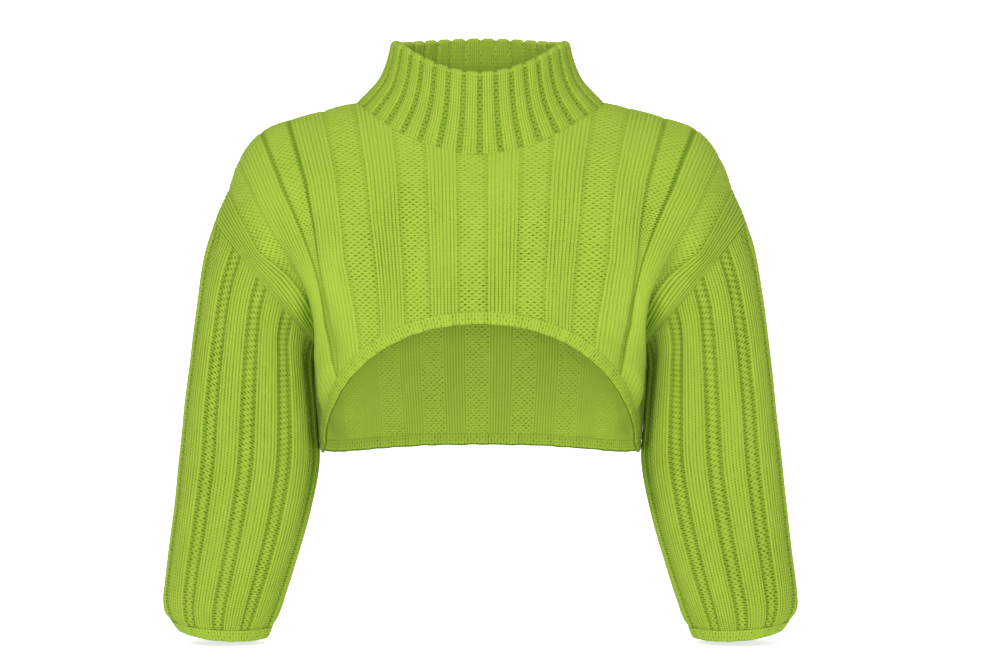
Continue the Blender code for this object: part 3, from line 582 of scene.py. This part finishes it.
def drapedLines(across, facing):  # wales over a panel, crowded where a purl band closes in a fold
    ahead = np.linspace(0, 1, 401)
    base = waleLines(ahead, facing)
    if facing == backSide:
        places = np.broadcast_to(np.abs(across), (len(base), len(across)))
    else:
        fine = np.linspace(-1, 1, 4001)
        fineRepeats = bodyRepeats(fine, facing)
        repeats = bodyRepeats(across, facing)
        table = np.array(bodyForm["bandPlaces"], float)
        marks = [0, *bodyForm["bandSides"], bodyRib["repeats"]]
        places = []
        for height in base[:, round(bodyForm["heightAt"] * 400), 2]:
            drawn = [np.interp(-height, -table[:, 0], column) for column in table[:, 1:].T]
            at = np.interp(np.abs(repeats), marks, [0, *drawn, bodyRib["repeats"]])
            places.append(np.abs(np.interp(np.sign(repeats) * at, fineRepeats, fine)))
    return np.array([pointsAt(row, ahead, place) for row, place in zip(base, places)])


def creaseDepth(across, rows, facing):
    depth = 0.0
    place = np.abs(across) * bodyRib["repeats"]
    for at, lean, low, high, deep, width in bodyForm["creases"]:
        height = (rows - low) / (high - low)
        along = smoothStep(0.0, 0.25, height) * (1 - smoothStep(0.7, 1.0, height))
        depth = depth + deep * along * np.exp(-((place - (at + lean * (1 - height))) / width) ** 2)
    return depth * (1.0 if facing == frontSide else bodyForm["backCreases"])


def panelRelief(facing, inner, across, repeats, wale, points, courses, rows):
    # how far a face of the wall lies back from the form, and what the wool reads there
    rib, form = bodyRib, bodyForm
    across, repeats, wale = (values[None, :] for values in (across, repeats, wale))
    place = np.abs(across)
    knit = np.broadcast_to(knitMask(repeats, rib), courses.shape)
    aboveHem = (courses - courses[:1]) * rib["course"]
    folds = creaseDepth(across, rows, facing) * smoothStep(0, 22, aboveHem)
    level = unevenness(across * 9, courses * 0.086, 1.3 + facing)
    level = level * smoothStep(0, 10, aboveHem) * (1 - smoothStep(0.80, 0.92, place))
    toEdge = np.minimum(1 - place, 0.02) / 0.02
    atSide = smoothStep(0.80, 0.90, place) * smoothStep(0.30, 0.42, rows)
    smooth = smoothStep(0.42, 0.56, place) * (1 - smoothStep(0.45, 0.62, rows)) * (1 - atSide)
    strength = mix(1.15, 0.75, smoothStep(0.5, 0.72, rows)) * mix(1.0, 0.35, smooth)
    strength = strength * (1 + 0.35 * unevenness(across * 7, courses * 0.064, 0.7))
    strength = mix(strength, 1.25, atSide)
    if inner:
        knit = 1 - knit
        depth, shade = stitchDepth(wale + 0.5, courses, knit, rib)
        depth = form["wall"] + folds - form["inStitch"] * depth * toEdge
        depth = depth + form["inRib"] * (1 - knit) * toEdge
        shade = form["inShade"] * shade
    else:
        closed = np.exp(-((place * rib["repeats"] - form["foldAt"]) / form["foldWidth"]) ** 2)
        closed = closed * (facing == frontSide)
        depth, shade = stitchDepth(wale, courses, knit, rib, strength)
        dots = edgeDots(repeats, courses, rib)
        dotDepth = form["dotDepth"] + form["foldDotDepth"] * closed
        depth = depth + bandRelief(repeats, knit, rib) + dotDepth * dots
        depth = mix(form["seamDepth"], depth + folds + form["level"] * level - rib["raised"], toEdge)
        # painted shade at the panel's side below the arm, where the sleeve hangs against it
        paintedSideShade = smoothStep(0.91, 1.0, place) * (1 - smoothStep(0.36, 0.48, rows))
        # painted shade in the corner under the arm
        underarmShadeX = (np.abs(points[..., 0]) - form["underarmShadeAt"][0]) / form["underarmShadeSize"][0]
        underarmShadeZ = (points[..., 2] - form["underarmShadeAt"][1]) / form["underarmShadeSize"][1]
        shade = shade + (form["dotShade"] + form["foldDotShade"] * closed) * dots + form["paintedSideShade"] * paintedSideShade
        shade = np.clip(shade + form["paintedUnderarmShade"] * np.exp(-underarmShadeX ** 2 - underarmShadeZ ** 2), 0, 1)
    return depth, knit, shade, strength


def panelSheet(facing, perWale, perCourse, inner):
    # one face of a panel's wall: points, faces, stitches and the four sides of its border
    rib = bodyRib
    fine = np.linspace(-1, 1, 8001)
    wales = waleCount(bodyRepeats(fine, facing), rib)
    first, last = math.ceil(wales[0] - 1e-6), math.floor(wales[-1] + 1e-6)
    marks = np.arange(first * perWale, last * perWale + 1) / perWale
    across = np.interp(marks, wales, fine)
    extra = [side * neckShare * near for side in (-1, 1) for near in (0.985, 0.994, 0.998, 1.0)]
    across = np.unique(np.concatenate([across, extra, [-1.0, 1.0]]))
    across = across[np.concatenate([[True], np.diff(across) > 1e-5])]
    across[0], across[-1] = -1.0, 1.0
    repeats = bodyRepeats(across, facing)
    wale = np.interp(across, fine, wales)
    place = np.abs(across)
    mirror = np.where(across < 0, -1.0, 1.0)
    lines = drapedLines(across, facing)
    lines[..., 0] *= mirror
    normals = -facing * gridNormals(lines, False)
    spans = []  # where each wale starts and ends, and where its courses are counted from
    for line, share in zip(lines.transpose(1, 0, 2), place):
        run = runLength(line)
        chest = run[2 * (len(lines) - 1) // 3]
        spans.append((run, hemAt(line, run, facing), neckAt(line, run, share, facing), chest))
    stretch = 1.0 / rib["course"]
    lowest = min(math.floor((low - chest) * stretch * perCourse) for _, low, _, chest in spans)
    highest = max(math.ceil((high - chest) * stretch * perCourse) for _, _, high, chest in spans)
    steps = np.arange(lowest, highest + 1) / perCourse
    slack = 0.3 / perCourse * rib["course"]
    shape = (len(steps), len(across))
    points, outward = np.empty((*shape, 3)), np.empty((*shape, 3))
    courses, rows, index = np.empty(shape), np.empty(shape), np.empty(shape, int)
    keep, used = [], 0
    for column, (run, low, high, chest) in enumerate(spans):
        wanted = chest + steps / stretch
        wanted = np.where(wanted < low + slack, low, wanted)
        wanted = np.where(wanted > high - slack, high, wanted)
        at = np.clip(wanted, low, high)
        points[:, column] = pointsAt(lines[:, column], run, at)
        outward[:, column] = pointsAt(normals[:, column], run, at)
        courses[:, column] = (at - chest) * stretch
        rows[:, column] = at / run[-1]
        fresh = np.concatenate([[True], np.diff(at) > 1e-9])
        index[:, column] = used + np.cumsum(fresh) - 1
        keep.append(np.flatnonzero(fresh) * shape[1] + column)
        used += int(fresh.sum())
    keep = np.concatenate(keep)
    outward = unit(outward)
    depth, knit, shade, strength = panelRelief(facing, inner, across, repeats, wale, points, courses, rows)
    points = points - depth[..., None] * outward
    points[..., 1] = facing * np.maximum(facing * points[..., 1], seamHair)  # front and back don't cross
    # the wall's end lies flat on the armhole seam
    onArmhole = (place > 1 - 1e-6)[None, :] & (points[..., 2] > armholeBottom[2] - 4)
    turned = seamTurn(mirror)[None, :, :]
    past = ((points - armholeMiddle * turned) * (armholeAxis * turned)).sum(axis=-1, keepdims=True) + seamHair
    points = points - np.where(onArmhole[..., None], armholeAxis * turned * past, 0)
    faces = gridFaces(index, False, (facing == backSide) != inner)
    spot = stitchSpots(wale + 0.5 * inner, courses)[keep]
    left, right = np.unique(index[:, 0]), np.unique(index[:, -1])
    heights = courses.reshape(-1)[keep]
    order = {"bottom": index[0], "top": index[-1], "left": left, "right": right}
    shares = {"bottom": across, "top": across, "left": heights[left], "right": heights[right]}
    look = lookOf(knit, shade, strength)[keep]
    return points.reshape(-1, 3)[keep], faces, spot, look, order, shares, clothArea(points, False)


def joinWalls(name, outer, inner, sides, facesFlip, total, material):
    points = np.vstack([outer[0], inner[0]])
    base = len(outer[0])
    faces = list(outer[1]) + [tuple(corner + base for corner in face) for face in inner[1]]
    borders = np.zeros(len(points), int)
    for side, flip in sides:
        first, second = outer[4][side], inner[4][side] + base
        strip = zipSides(first.tolist(), second.tolist(), outer[5][side], inner[5][side])
        faces += [face[::-1] if flip != facesFlip else face for face in strip]
        borders[first], borders[second] = 1, 2
    stitches = np.vstack([outer[2], inner[2]])
    look = np.vstack([outer[3], inner[3]])
    return makeCloth(name, points, faces, stitches, look, total, material, borders)


def makePanel(name, facing, outerPerCourse, innerPerWale, material):
    outer = panelSheet(facing, 2, outerPerCourse, False)
    inner = panelSheet(facing, innerPerWale, 1, True)
    sides = (("bottom", True), ("top", False), ("left", False), ("right", True))
    return joinWalls(name, outer, inner, sides, facing == backSide, 0, material), outer[6]


frontPanel = makePanel("frontKnit", frontSide, 2, 1, makeWool("frontWool", bodyRib["dotted"]))
backPanel = makePanel("backKnit", backSide, 1, 2, makeWool("backWool", bodyRib["dotted"]))


# sleeves
sleeveForm = {
    # outer x, z, inner x, z, half depth, centre y, sag
    "rings": [(255, -109, 156.5, -228, 60, 0, 0), (265, -146, 160.15, -246, 61, 3, 0),
              (273.5, -205, 159.7, -268, 60, 7, 0), (281.5, -270, 157.2, -302, 58, 8, 0),
              (288.5, -338, 155.3, -342, 56, 6, 0), (294.5, -398, 165, -393, 55, 0, 0),
              (300, -446, 178.5, -440, 53, -5, 1), (302.5, -470, 188, -470, 49.5, -5, 2),
              (300.5, -483.5, 194.5, -488, 45.5, -5, 3), (296.5, -491, 199, -497, 42, -5, 3)],
    "cuffEnd": (290.5, -500, 202.5, -506.5, 39, -5, 3),
    "square": [2.0, 2.15, 2.4, 2.6, 2.7, 2.7, 2.6, 2.4, 2.2, 2.0],  # 2 is a round ring, more is squarer
    "wall": 3.8, "seamRib": 0.35, "inStitch": 0.5, "inRib": 0.9, "dotDepth": 0.5, "level": 0.6, "gather": 0.8,
    # the side shade is painted shade where the sleeve lies against the body
    "seamDepth": 0.3, "dotShade": 0.6, "baseShade": 0.05, "paintedSideShade": 0.6, "paintedSideShadeWidth": 0.085,
}


def ringEnds(ring):  # points of a ring furthest from the body and nearest to it
    outerX, outerZ, innerX, innerZ, _, centreY, _ = ring
    return np.array([outerX, centreY, outerZ]), np.array([innerX, centreY, innerZ])


def ringLine(ring, square=2.0):
    outer, inner = ringEnds(ring)
    depth, sag = ring[4], ring[6]
    turn = np.linspace(0, 2 * math.pi, 721)[:, None]
    ahead, beside = (np.copysign(np.abs(wave) ** (2 / square), wave) for wave in (np.cos(turn), np.sin(turn)))
    line = (outer + inner) / 2 + (inner - outer) / 2 * ahead
    return line + np.array([0, -depth, 0]) * beside - sag * upward * np.sin(turn) ** 2


def ringSpokes(points, ring):  # directions square to a ring, in its own plane
    outer, inner = ringEnds(ring)
    half = np.linalg.norm(outer - inner) / 2
    slope = (outer - inner) / (2 * half)
    spokes = points - (outer + inner) / 2
    return unit((spokes @ slope / half ** 2)[:, None] * slope + spokes * [0, 1, 0] / ring[4] ** 2)


def tubeSheet(loops, rib, perWale, perCourse, turnEnds, way):
    # one face of a tube through rings of points, before its relief: wales round it, courses along it
    # way is 1 or -1, to make the normals point outwards
    purlShare = 1 - rib["knitShare"]
    marks = np.arange(ribWales(rib) * perWale) / perWale
    fine = np.linspace(0, rib["repeats"], 9001)
    wales = waleCount(fine - purlShare / 2 + 1e-9, rib)
    repeats = np.interp(marks, wales, fine) - purlShare / 2
    around = np.mod((repeats - rib["offset"]) / rib["repeats"], 1.0)
    order = np.argsort(around)
    around, repeats, wale = around[order], repeats[order], marks[order]
    lines = smoothLine([byDistance(loop, around) for loop in loops])
    normals = way * gridNormals(lines, True)
    runs = [runLength(line) for line in lines.transpose(1, 0, 2)]
    count = round(np.mean([run[-1] for run in runs]) / rib["course"] * perCourse)
    shares = np.linspace(0, 1, count + 1)
    points, outward = (np.array([pointsAt(grid[:, column], run, shares * run[-1])
                                 for column, run in enumerate(runs)]).transpose(1, 0, 2)
                       for grid in (lines, normals))
    outward = turnEnds(points, unit(outward), shares)
    courses = np.broadcast_to((shares * count / perCourse)[:, None], points.shape[:2])
    repeats, wale, around = (values[None, :] for values in (repeats, wale, around))
    knit = np.broadcast_to(knitMask(repeats, rib), courses.shape)
    return points, outward, shares[:, None], courses, knit, repeats, wale, around


def tubeWall(points, courses, knit, shade, strength, wale, around, flip):  # a tube's face, ready to be joined
    index = np.arange(courses.size).reshape(courses.shape)
    closing = np.concatenate([index, index[:, :1]], axis=1)
    order = {"bottom": closing[0], "top": closing[-1]}
    shares = dict.fromkeys(order, np.append(around[0], 1.0))
    return (points.reshape(-1, 3), gridFaces(index, True, flip), stitchSpots(wale, courses),
            lookOf(knit, shade, strength), order, shares)


def joinTube(name, outer, inner, flip, rib, material):
    return joinWalls(name, outer, inner, (("bottom", True), ("top", False)), flip, ribWales(rib), material)


def sleeveWall(side, perWale, perCourse, inner):
    rib, form = sleeveRib, sleeveForm
    rings = form["rings"]

    def turnEnds(points, outward, shares):  # square to the first ring near the shoulder, and to the cuff
        height = (points[0] - armholeMiddle) @ armholeSlope / armholeHalf
        near = smoothStep(0.35, 0.75, height)[None, :] * (1 - smoothStep(0, 0.05, shares))[:, None]
        outward = unit(mix(outward, ringSpokes(points[0], rings[0]), near[..., None]))
        near = smoothStep(0.96, 1.0, shares)[:, None, None]
        return unit(mix(outward, ringSpokes(points[-1], rings[-1]), near))

    loops = [ringLine(ring, square) for ring, square in zip(rings, form["square"])]
    sheet = tubeSheet(loops, rib, perWale, perCourse, turnEnds, -1)
    points, outward, shares, courses, knit, repeats, wale, around = sheet
    area = clothArea(points, True)
    inside = smoothStep(0, 0.05, shares) * smoothStep(0, 0.03, 1 - shares)
    rise = mix(form["seamRib"], 1.0, inside)
    if inner:
        knit = 1 - knit
        depth, shade = stitchDepth(wale + 0.5, courses, knit, rib)
        depth = form["wall"] - form["inStitch"] * depth * inside + form["inRib"] * (1 - knit) * inside
    else:
        depth, shade = stitchDepth(wale, courses, knit, rib)
        dots = edgeDots(repeats, courses, rib)
        fromBody = np.minimum(around, 1 - around)  # 0 where the sleeve lies against the body
        level = unevenness(around * 2 * math.pi, courses * 0.11, 3.1 + side)
        level = level * (1 - np.exp(-(fromBody / 0.12) ** 2))
        gather = unevenness(around * 14 * math.pi, courses * 0.35, 0.4 + side)
        gather = gather * smoothStep(0.86, 0.97, shares)
        depth = depth + bandRelief(repeats, knit, rib) * rise + form["dotDepth"] * dots * rise
        depth = depth + form["level"] * level * inside + form["gather"] * gather * inside
        depth = depth - rib["raised"] * inside
        depth[0] = form["seamDepth"]
        # painted shade on the sleeve's side where it lies against the body, from the shoulder partway down
        along = smoothStep(0.0, 0.06, shares) * (1 - smoothStep(0.4, 0.7, shares))
        paintedSideShade = np.exp(-(fromBody / form["paintedSideShadeWidth"]) ** 2) * along
        shade = shade + form["dotShade"] * dots + form["baseShade"] + form["paintedSideShade"] * paintedSideShade
        shade = np.clip(shade, 0, 1)
    points = points - depth[..., None] * outward
    points[0] -= ((points[0] - armholeMiddle) @ armholeAxis - seamHair)[:, None] * armholeAxis
    points[..., 0] *= side
    strength = 0.95 + 0.3 * unevenness(around * 9, courses * 0.055, 1.9 + side)
    flip = (side > 0) == inner
    return tubeWall(points, courses, knit, shade, strength, wale + 0.5 * inner, around, flip), area


sleeves = {}
for word, side in (("left", 1), ("right", -1)):
    wool = makeWool(word + "SleeveWool", sleeveRib["dotted"])
    outer, area = sleeveWall(side, 2, 2, False)
    inner, _ = sleeveWall(side, 1, 0.5, True)
    sleeves[word] = joinTube(word + "SleeveKnit", outer, inner, side > 0, sleeveRib, wool), area


# collar
collarForm = {
    # half width, front y, front z, side y, side z, back y, back z
    "levels": [(109, -78, -34, -1, 14, 65, 9), (98, -76, -18, -3, 26, 61, 24),
               (91.5, -74.5, -2, -5, 39, 58.5, 42), (87.5, -74, 14, -7, 52, 57, 58),
               (85, -75, 30, -9, 65, 56, 74)],
    "topShare": 0.92, "seamRib": 0.35, "leanMiddle": 0.83, "leanSide": 0.50,
    "wallHeights": [0, 0.12, 0.38, 0.66, 0.9], "walls": [3.6, 6.0, 7.75, 9.15, 9.5],
    "rimLines": 9, "rimRise": 4.6, "rimScallop": 0.9, "rimCourse": 0.33, "rimShade": 0.35,
    # names that begin with in are for the inner face
    "inStitch": 0.6, "inRib": 1.3, "inBack": 0.6, "inShade": 0.1, "inDots": 0.1, "dotShade": 0.4,
    "purlShade": 0.16, "baseShade": -0.02, "strength": 0.8,
}


def neckPoints(facing):  # the panel's neckline from the centre out to the neck point
    close = 1 - 0.1 * np.linspace(1, 0, 60) ** 2.5  # closer together towards the neck point
    across = np.append(np.linspace(0, neckShare * 0.9, 60), neckShare * close)
    ends = []
    for line, share in zip(waleLines(across, facing).transpose(1, 0, 2), across):
        run = runLength(line)
        ends.append(pointsAt(line, run, neckAt(line, run, share, facing)))
    return np.array(ends)


def neckLoop():
    front, back = neckPoints(frontSide), neckPoints(backSide)
    front[0, 0] = back[0, 0] = 0
    right = np.vstack([front, back[::-1][1:]])
    return np.vstack([right, right[::-1][1:] * [-1, 1, 1]])


def collarLoop(level):
    halfWidth, frontY, frontZ, sideY, sideZ, backY, backZ = level
    turn = np.linspace(0, 2 * math.pi, 721)
    cosine = np.cos(turn)
    y = mix(sideY, np.where(cosine > 0, frontY, backY), np.abs(cosine))
    z = mix(sideZ, np.where(cosine > 0, frontZ, backZ), cosine ** 2)
    return np.stack([halfWidth * np.sin(turn), y, z], axis=-1)


def neckDirections(points):
    sine = np.clip(points[:, 0] / bodyForm["neckHalfWidth"], -1, 1)
    sideways = mix(collarForm["leanMiddle"], collarForm["leanSide"], np.abs(sine))
    cosine = np.copysign(np.sqrt(np.maximum(0, 1 - sine ** 2)), points[:, 1])
    return np.stack([sine * sideways, cosine * sideways, np.sqrt(1 - sideways ** 2)], axis=-1)


def collarSheet(perCourse, inner):
    rib, form = collarRib, collarForm

    def turnEnds(points, outward, shares):  # the collar leans out from the neck seam
        near = (1 - smoothStep(0, 0.14, shares))[:, None, None]
        return unit(mix(outward, neckDirections(points[0]), near))

    loops = [neckLoop()] + [collarLoop(level) for level in form["levels"]]
    sheet = tubeSheet(loops, rib, 2, perCourse, turnEnds, 1)
    count = round(len(sheet[2]) * form["topShare"])
    points, outward, shares, courses, knit = (grid[:count] for grid in sheet[:5])
    repeats, wale, around = sheet[5:]
    area = clothArea(points, True)
    inside = smoothStep(0, 0.10, shares)
    depth, shade = stitchDepth(wale, courses, knit, rib)
    dots = edgeDots(repeats, courses, rib)
    if inner:  # the collar is double, so its ribs stand out inside as well
        wall = np.interp(shares, form["wallHeights"], form["walls"])
        depth = wall - form["inStitch"] * depth * inside - form["inRib"] * (1 - knit) * inside
        depth = depth + form["inBack"]
        shade = form["inShade"] * shade + form["inDots"] * dots
    else:
        rise = mix(form["seamRib"], 1.0, inside)
        depth = depth + bandRelief(repeats, knit, rib) * rise - rib["raised"] * inside
        shade = shade + form["dotShade"] * dots + form["purlShade"] * (1 - knit) + form["baseShade"]
    return points - depth[..., None] * outward, courses, knit, np.clip(shade, 0, 1), wale, around, area


def makeCollar(name, material):
    form = collarForm
    points, courses, knit, shade, wale, around, area = collarSheet(2, False)
    inPoints, inCourses, inKnit, inShade, inWale, inAround, _ = collarSheet(1, True)
    strength = form["strength"]
    inner = tubeWall(inPoints, inCourses, inKnit, inShade, strength, inWale, inAround, True)
    # the rim rolls over from the outer to the inner face
    rise = unit(points[-1] - points[-3])
    scallop = mix(-1.0, 1.0, knit[-1])[:, None]
    crest = form["rimRise"] + form["rimScallop"] * scallop
    rim = [mix(points[-1], inPoints[-1], 0.5 - 0.5 * math.cos(turn)) + rise * math.sin(turn) * crest
           for turn in np.linspace(0, math.pi, form["rimLines"])[1:-1]]
    extra = np.arange(1, len(rim) + 1) * form["rimCourse"]
    points = np.concatenate([points, np.array(rim)])
    courses = np.concatenate([courses, courses[-1] + extra[:, None] + 0 * courses[:1]])
    knit = np.concatenate([knit, np.repeat(knit[-1:], len(rim), axis=0)])
    shade = np.concatenate([shade, form["rimShade"] * np.repeat(shade[-1:], len(rim), axis=0)])
    outer = tubeWall(points, courses, knit, shade, strength, wale, around, False)
    return joinTube(name, outer, inner, False, collarRib, material), area


collar = makeCollar("collarKnit", makeWool("collarWool", collarRib["dotted"]))


# narrow bands along the arch, the back hem and the cuffs
trimForm = {"width": 11.0, "wall": 3.8, "proud": 0.1, "turnIn": 0.6, "hollow": 0.3,
            "edgeRise": 0.7, "wale": 3.0, "course": 3.4, "groove": 0.35, "wave": 0.45, "perWale": 3,
            "lines": 9, "rollLines": 6, "baseShade": 0.12, "lineShade": 0.34, "rollShade": 0.85, "knit": 0.45,
            "strength": 1.6}


def trimSection():  # how far down the band, and how far out, round its cross-section
    form = trimForm
    down = np.linspace(0.004, 1.0, form["lines"])
    arch, edge = np.sin(math.pi * down), form["turnIn"] * down ** 4
    out = form["proud"] * arch - edge
    innerOut = -form["wall"] - form["hollow"] * arch + edge
    turn = np.linspace(0, math.pi, form["rollLines"])[1:-1]
    middle, half = (out[-1] + innerOut[-1]) / 2, (out[-1] - innerOut[-1]) / 2
    rolled = form["width"] + form["edgeRise"] * np.sin(turn), middle + half * np.cos(turn)
    down = down * form["width"]
    return [*zip(down, out), *zip(*rolled), *zip(down[::-1], innerOut[::-1])]


def makeTrim(name, seam, out, down, closed, flip, material, ends=None):
    # seam is a fine line, out and down its directions; wales stand square to the edge
    form = trimForm
    if closed:
        seam, out, down = (np.vstack([values, values[:1]]) for values in (seam, out, down))
    run = runLength(seam)
    wales = round(run[-1] / form["wale"])
    columns = wales * form["perWale"] + (0 if closed else 1)
    wale = np.arange(columns) / form["perWale"]
    base, outAt, downAt = (pointsAt(values, run, wale * run[-1] / wales) for values in (seam, out, down))
    outAt, downAt = unit(outAt), unit(downAt)
    side = np.abs(np.mod(wale, 1.0) - 0.5) * 2
    strength = np.clip(0.55 + 0.35 * unevenness(wale * 0.9, wale * 0.31, 2.0), 0.2, 0.9)
    points, courses, shade = [], [], []
    for number, (drop, proud) in enumerate(trimSection()):
        part = drop / form["width"]
        course = np.full(columns, drop / form["course"])
        groove = smoothStep(0.3, 1.0, side) * strength * (0.75 + 0.5 * stitchNoise(wale, course))
        dotted = 0.6 + 0.4 * (0.5 + 0.5 * math.cos(2 * math.pi * drop / form["course"]))
        onOuter = 1 if number < form["lines"] + 2 else -0.5
        deep = form["groove"] * groove * smoothStep(0.0, 0.3, part) * dotted * onOuter
        wave = form["wave"] * unevenness(wale * 0.55, wale * 0.21, 5.0) * part ** 2
        points.append(base + downAt * (drop + wave)[:, None] + outAt * (proud - deep)[:, None])
        courses.append(course)
        # painted shadow along the rolled edge, where the rim shades the inside below it
        rolled = form["rollShade"] if abs(number - form["lines"] - 2.5) < 2 else 0.0
        shade.append(np.clip(form["baseShade"] + groove * form["lineShade"] + rolled, 0, 1))
    points, courses, shade = np.array(points), np.array(courses), np.array(shade)
    if ends is not None:
        points[:, [0, -1], 1] = ends
    index = np.arange(courses.size).reshape(courses.shape)
    faces = gridFaces(np.concatenate([index, index[:1]]), closed, flip)
    if not closed:  # close both ends of the strip
        for column, turned in ((0, False), (-1, True)):
            rim = index[:, column].tolist()
            faces.append(tuple(rim[::-1]) if turned != flip else tuple(rim))
    borders = np.zeros(index.size, int)
    borders[index[0]], borders[index[-1]] = 1, 2
    look = lookOf(form["knit"], shade, form["strength"] * strength)
    piece = makeCloth(name, points.reshape(-1, 3), faces, stitchSpots(wale, courses), look,
                      wales if closed else 0, material, borders)
    return piece, run[-1] / 1000


def panelHem(facing):  # lower edge of a panel with its outward and downward directions
    across = np.linspace(-1, 1, 801)
    lines = waleLines(np.abs(across), facing)
    lines[..., 0] *= np.where(across < 0, -1.0, 1.0)
    normals = -facing * gridNormals(lines, False)
    seam, out = [], []
    for line, normal in zip(lines.transpose(1, 0, 2), normals.transpose(1, 0, 2)):
        run = runLength(line)
        low = hemAt(line, run, facing)
        seam.append(pointsAt(line, run, low))
        out.append(pointsAt(normal, run, low))
    seam, out = np.array(seam), unit(np.array(out))
    out[0], out[-1] = [-1, 0, 0], [1, 0, 0]
    down = -facing * unit(np.cross(np.gradient(seam, axis=0), out))
    near = (1 - smoothStep(0, 0.02, 1 - np.abs(across)))[:, None]
    down = unit(mix(down, -upward, near))
    seam[:, 1] = np.where(np.abs(seam[:, 1]) < seamHair, facing * seamHair, seam[:, 1])
    return seam, out, down


trims = {}
for word, facing in (("front", frontSide), ("back", backSide)):
    wool = makeWool(word + "HemWool", bodyRib["dotted"])
    seam, out, down = panelHem(facing)
    ends = facing * seamHair
    trims[word] = makeTrim(word + "HemTrim", seam, out, down, False, facing == frontSide, wool, ends)
for word, side in (("left", 1), ("right", -1)):
    top, end = ringLine(sleeveForm["rings"][-1])[:-1], ringLine(sleeveForm["cuffEnd"])[:-1]
    out, down = ringSpokes(top, sleeveForm["rings"][-1]), unit(end - top)
    seam, out, down = (values * [side, 1, 1] for values in (top + down * seamHair, out, down))
    wool = makeWool(word + "CuffWool", sleeveRib["dotted"])
    trims[word] = makeTrim(word + "CuffTrim", seam, out, down, True, side > 0, wool)

# flat width and length in metres; a band is as wide as its seam is long
cutSizes = {"front": (0.60, 0.36), "back": (0.60, 0.38), "sleeve": (0.40, 0.39), "collar": (0.62, 0.10),
            "bandLength": 0.0135}


# every piece rides on the body and stands for its solid
def settle(piece, node, slot, flat, area=None):
    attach(piece, "root")
    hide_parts(node)
    if area is not None:
        area = min(area, 0.999 * flat[0] * flat[1])


for word, (piece, area) in (("front", frontPanel), ("back", backPanel)):
    settle(piece, word + "_panel", word + "_knit", cutSizes[word], area)
for word, (piece, area) in sleeves.items():
    settle(piece, word + "_sleeve", word + "_sleeve_knit", cutSizes["sleeve"], area)
settle(collar[0], "collar", "collar_knit", cutSizes["collar"], collar[1])
for word, (piece, length) in trims.items():
    place, node = ("hem", "hem_band") if word in ("front", "back") else ("cuff", "cuff")
    settle(piece, word + "_" + node, word + "_" + place + "_knit", (length, cutSizes["bandLength"]))
print("pieces placed")

# floor, light and camera
stageLook = {"floorZ": -0.513, "floorColour": (0.93, 0.93, 0.93), "floorGlow": 0.69, "roughness": 0.9,
             "specular": 0.1, "wallY": 7.0, "bend": 1.0, "front": 9.0, "width": 20.0, "wallHeight": 6.0}
lamps = {"keyLight": {"place": (-0.9, -2.8, 1.3), "aim": (0, 0, -0.2), "size": (1.2, 1.2), "power": 29},
         "frontLight": {"place": (0.1, -3.4, -0.3), "aim": (0, 0, -0.25), "size": (1.0, 0.7), "power": 47},
         "topLight": {"place": (0.0, -0.8, 2.5), "aim": (0, 0, -0.2), "size": (3.0, 2.4), "power": 48}}
skyStrength = 0.385
cameraForm = {"place": (0.0226, -3.0, -0.219), "lens": 111.6, "sensor": 36}


def makeStage(look=stageLook):
    bpy.ops.object.select_all(action="DESELECT")
    back = look["wallY"] + look["bend"]
    middle = (back - look["front"]) / 2
    bpy.ops.mesh.primitive_plane_add(size=1, location=(0, middle, look["floorZ"]))
    floor = bpy.context.object
    floor.name = floor.data.name = "paleFloor"
    floor.scale = (look["width"], back + look["front"], 1)
    bpy.ops.object.transform_apply(location=True, rotation=False, scale=True)
    bpy.ops.object.mode_set(mode="EDIT")
    bpy.ops.mesh.select_mode(type="EDGE")
    bpy.ops.mesh.select_all(action="DESELECT")
    bpy.ops.object.mode_set(mode="OBJECT")
    for edge in floor.data.edges:  # the far edge goes up as a wall
        edge.select = all(floor.data.vertices[corner].co.y > middle for corner in edge.vertices)
    bpy.ops.object.mode_set(mode="EDIT")
    bpy.ops.mesh.extrude_region_move(TRANSFORM_OT_translate={"value": (0, 0, look["wallHeight"])})
    bpy.ops.object.mode_set(mode="OBJECT")
    bend = floor.modifiers.new("bend", "BEVEL")
    bend.width = look["bend"]
    bend.segments = 12
    bpy.ops.object.modifier_apply(modifier="bend")
    bpy.ops.object.shade_smooth()
    material = bpy.data.materials.new("paleFloor")
    material.use_nodes = True
    setInputs(material.node_tree.nodes["Principled BSDF"], {
        "Base Color": (*look["floorColour"], 1), "Roughness": look["roughness"],
        "Specular IOR Level": look["specular"], "Emission Color": (1, 1, 1, 1),
        "Emission Strength": look["floorGlow"]})  # a light table
    floor.data.materials.append(material)


def makeLight(name, look):
    toward = np.array(look["aim"]) - np.array(look["place"])
    flat = math.hypot(toward[0], toward[1])
    turn = (math.atan2(flat, -toward[2]), 0, math.atan2(-toward[0], toward[1]))
    bpy.ops.object.light_add(type="AREA", location=look["place"], rotation=turn)
    lamp = bpy.context.object
    lamp.name = lamp.data.name = name
    lamp.data.shape = "RECTANGLE"
    lamp.data.size, lamp.data.size_y = look["size"]
    lamp.data.energy = look["power"]
    lamp.visible_camera = False  # lamps stay out of the views from behind


makeStage()
for name, look in lamps.items():
    makeLight(name, look)

world = bpy.data.worlds.new("studio")
world.use_nodes = True
setInputs(world.node_tree.nodes["Background"], {"Color": (1, 1, 1, 1), "Strength": skyStrength})
bpy.context.scene.world = world
bpy.context.scene.view_settings.view_transform = "Standard"
bpy.context.scene.view_settings.look = "None"

bpy.ops.object.camera_add(location=cameraForm["place"], rotation=(math.pi / 2, 0, 0))
camera = bpy.context.object
camera.name = camera.data.name = "studioCamera"
camera.data.lens = cameraForm["lens"]
camera.data.sensor_width = cameraForm["sensor"]
bpy.context.scene.camera = camera

print("stage and camera ready")
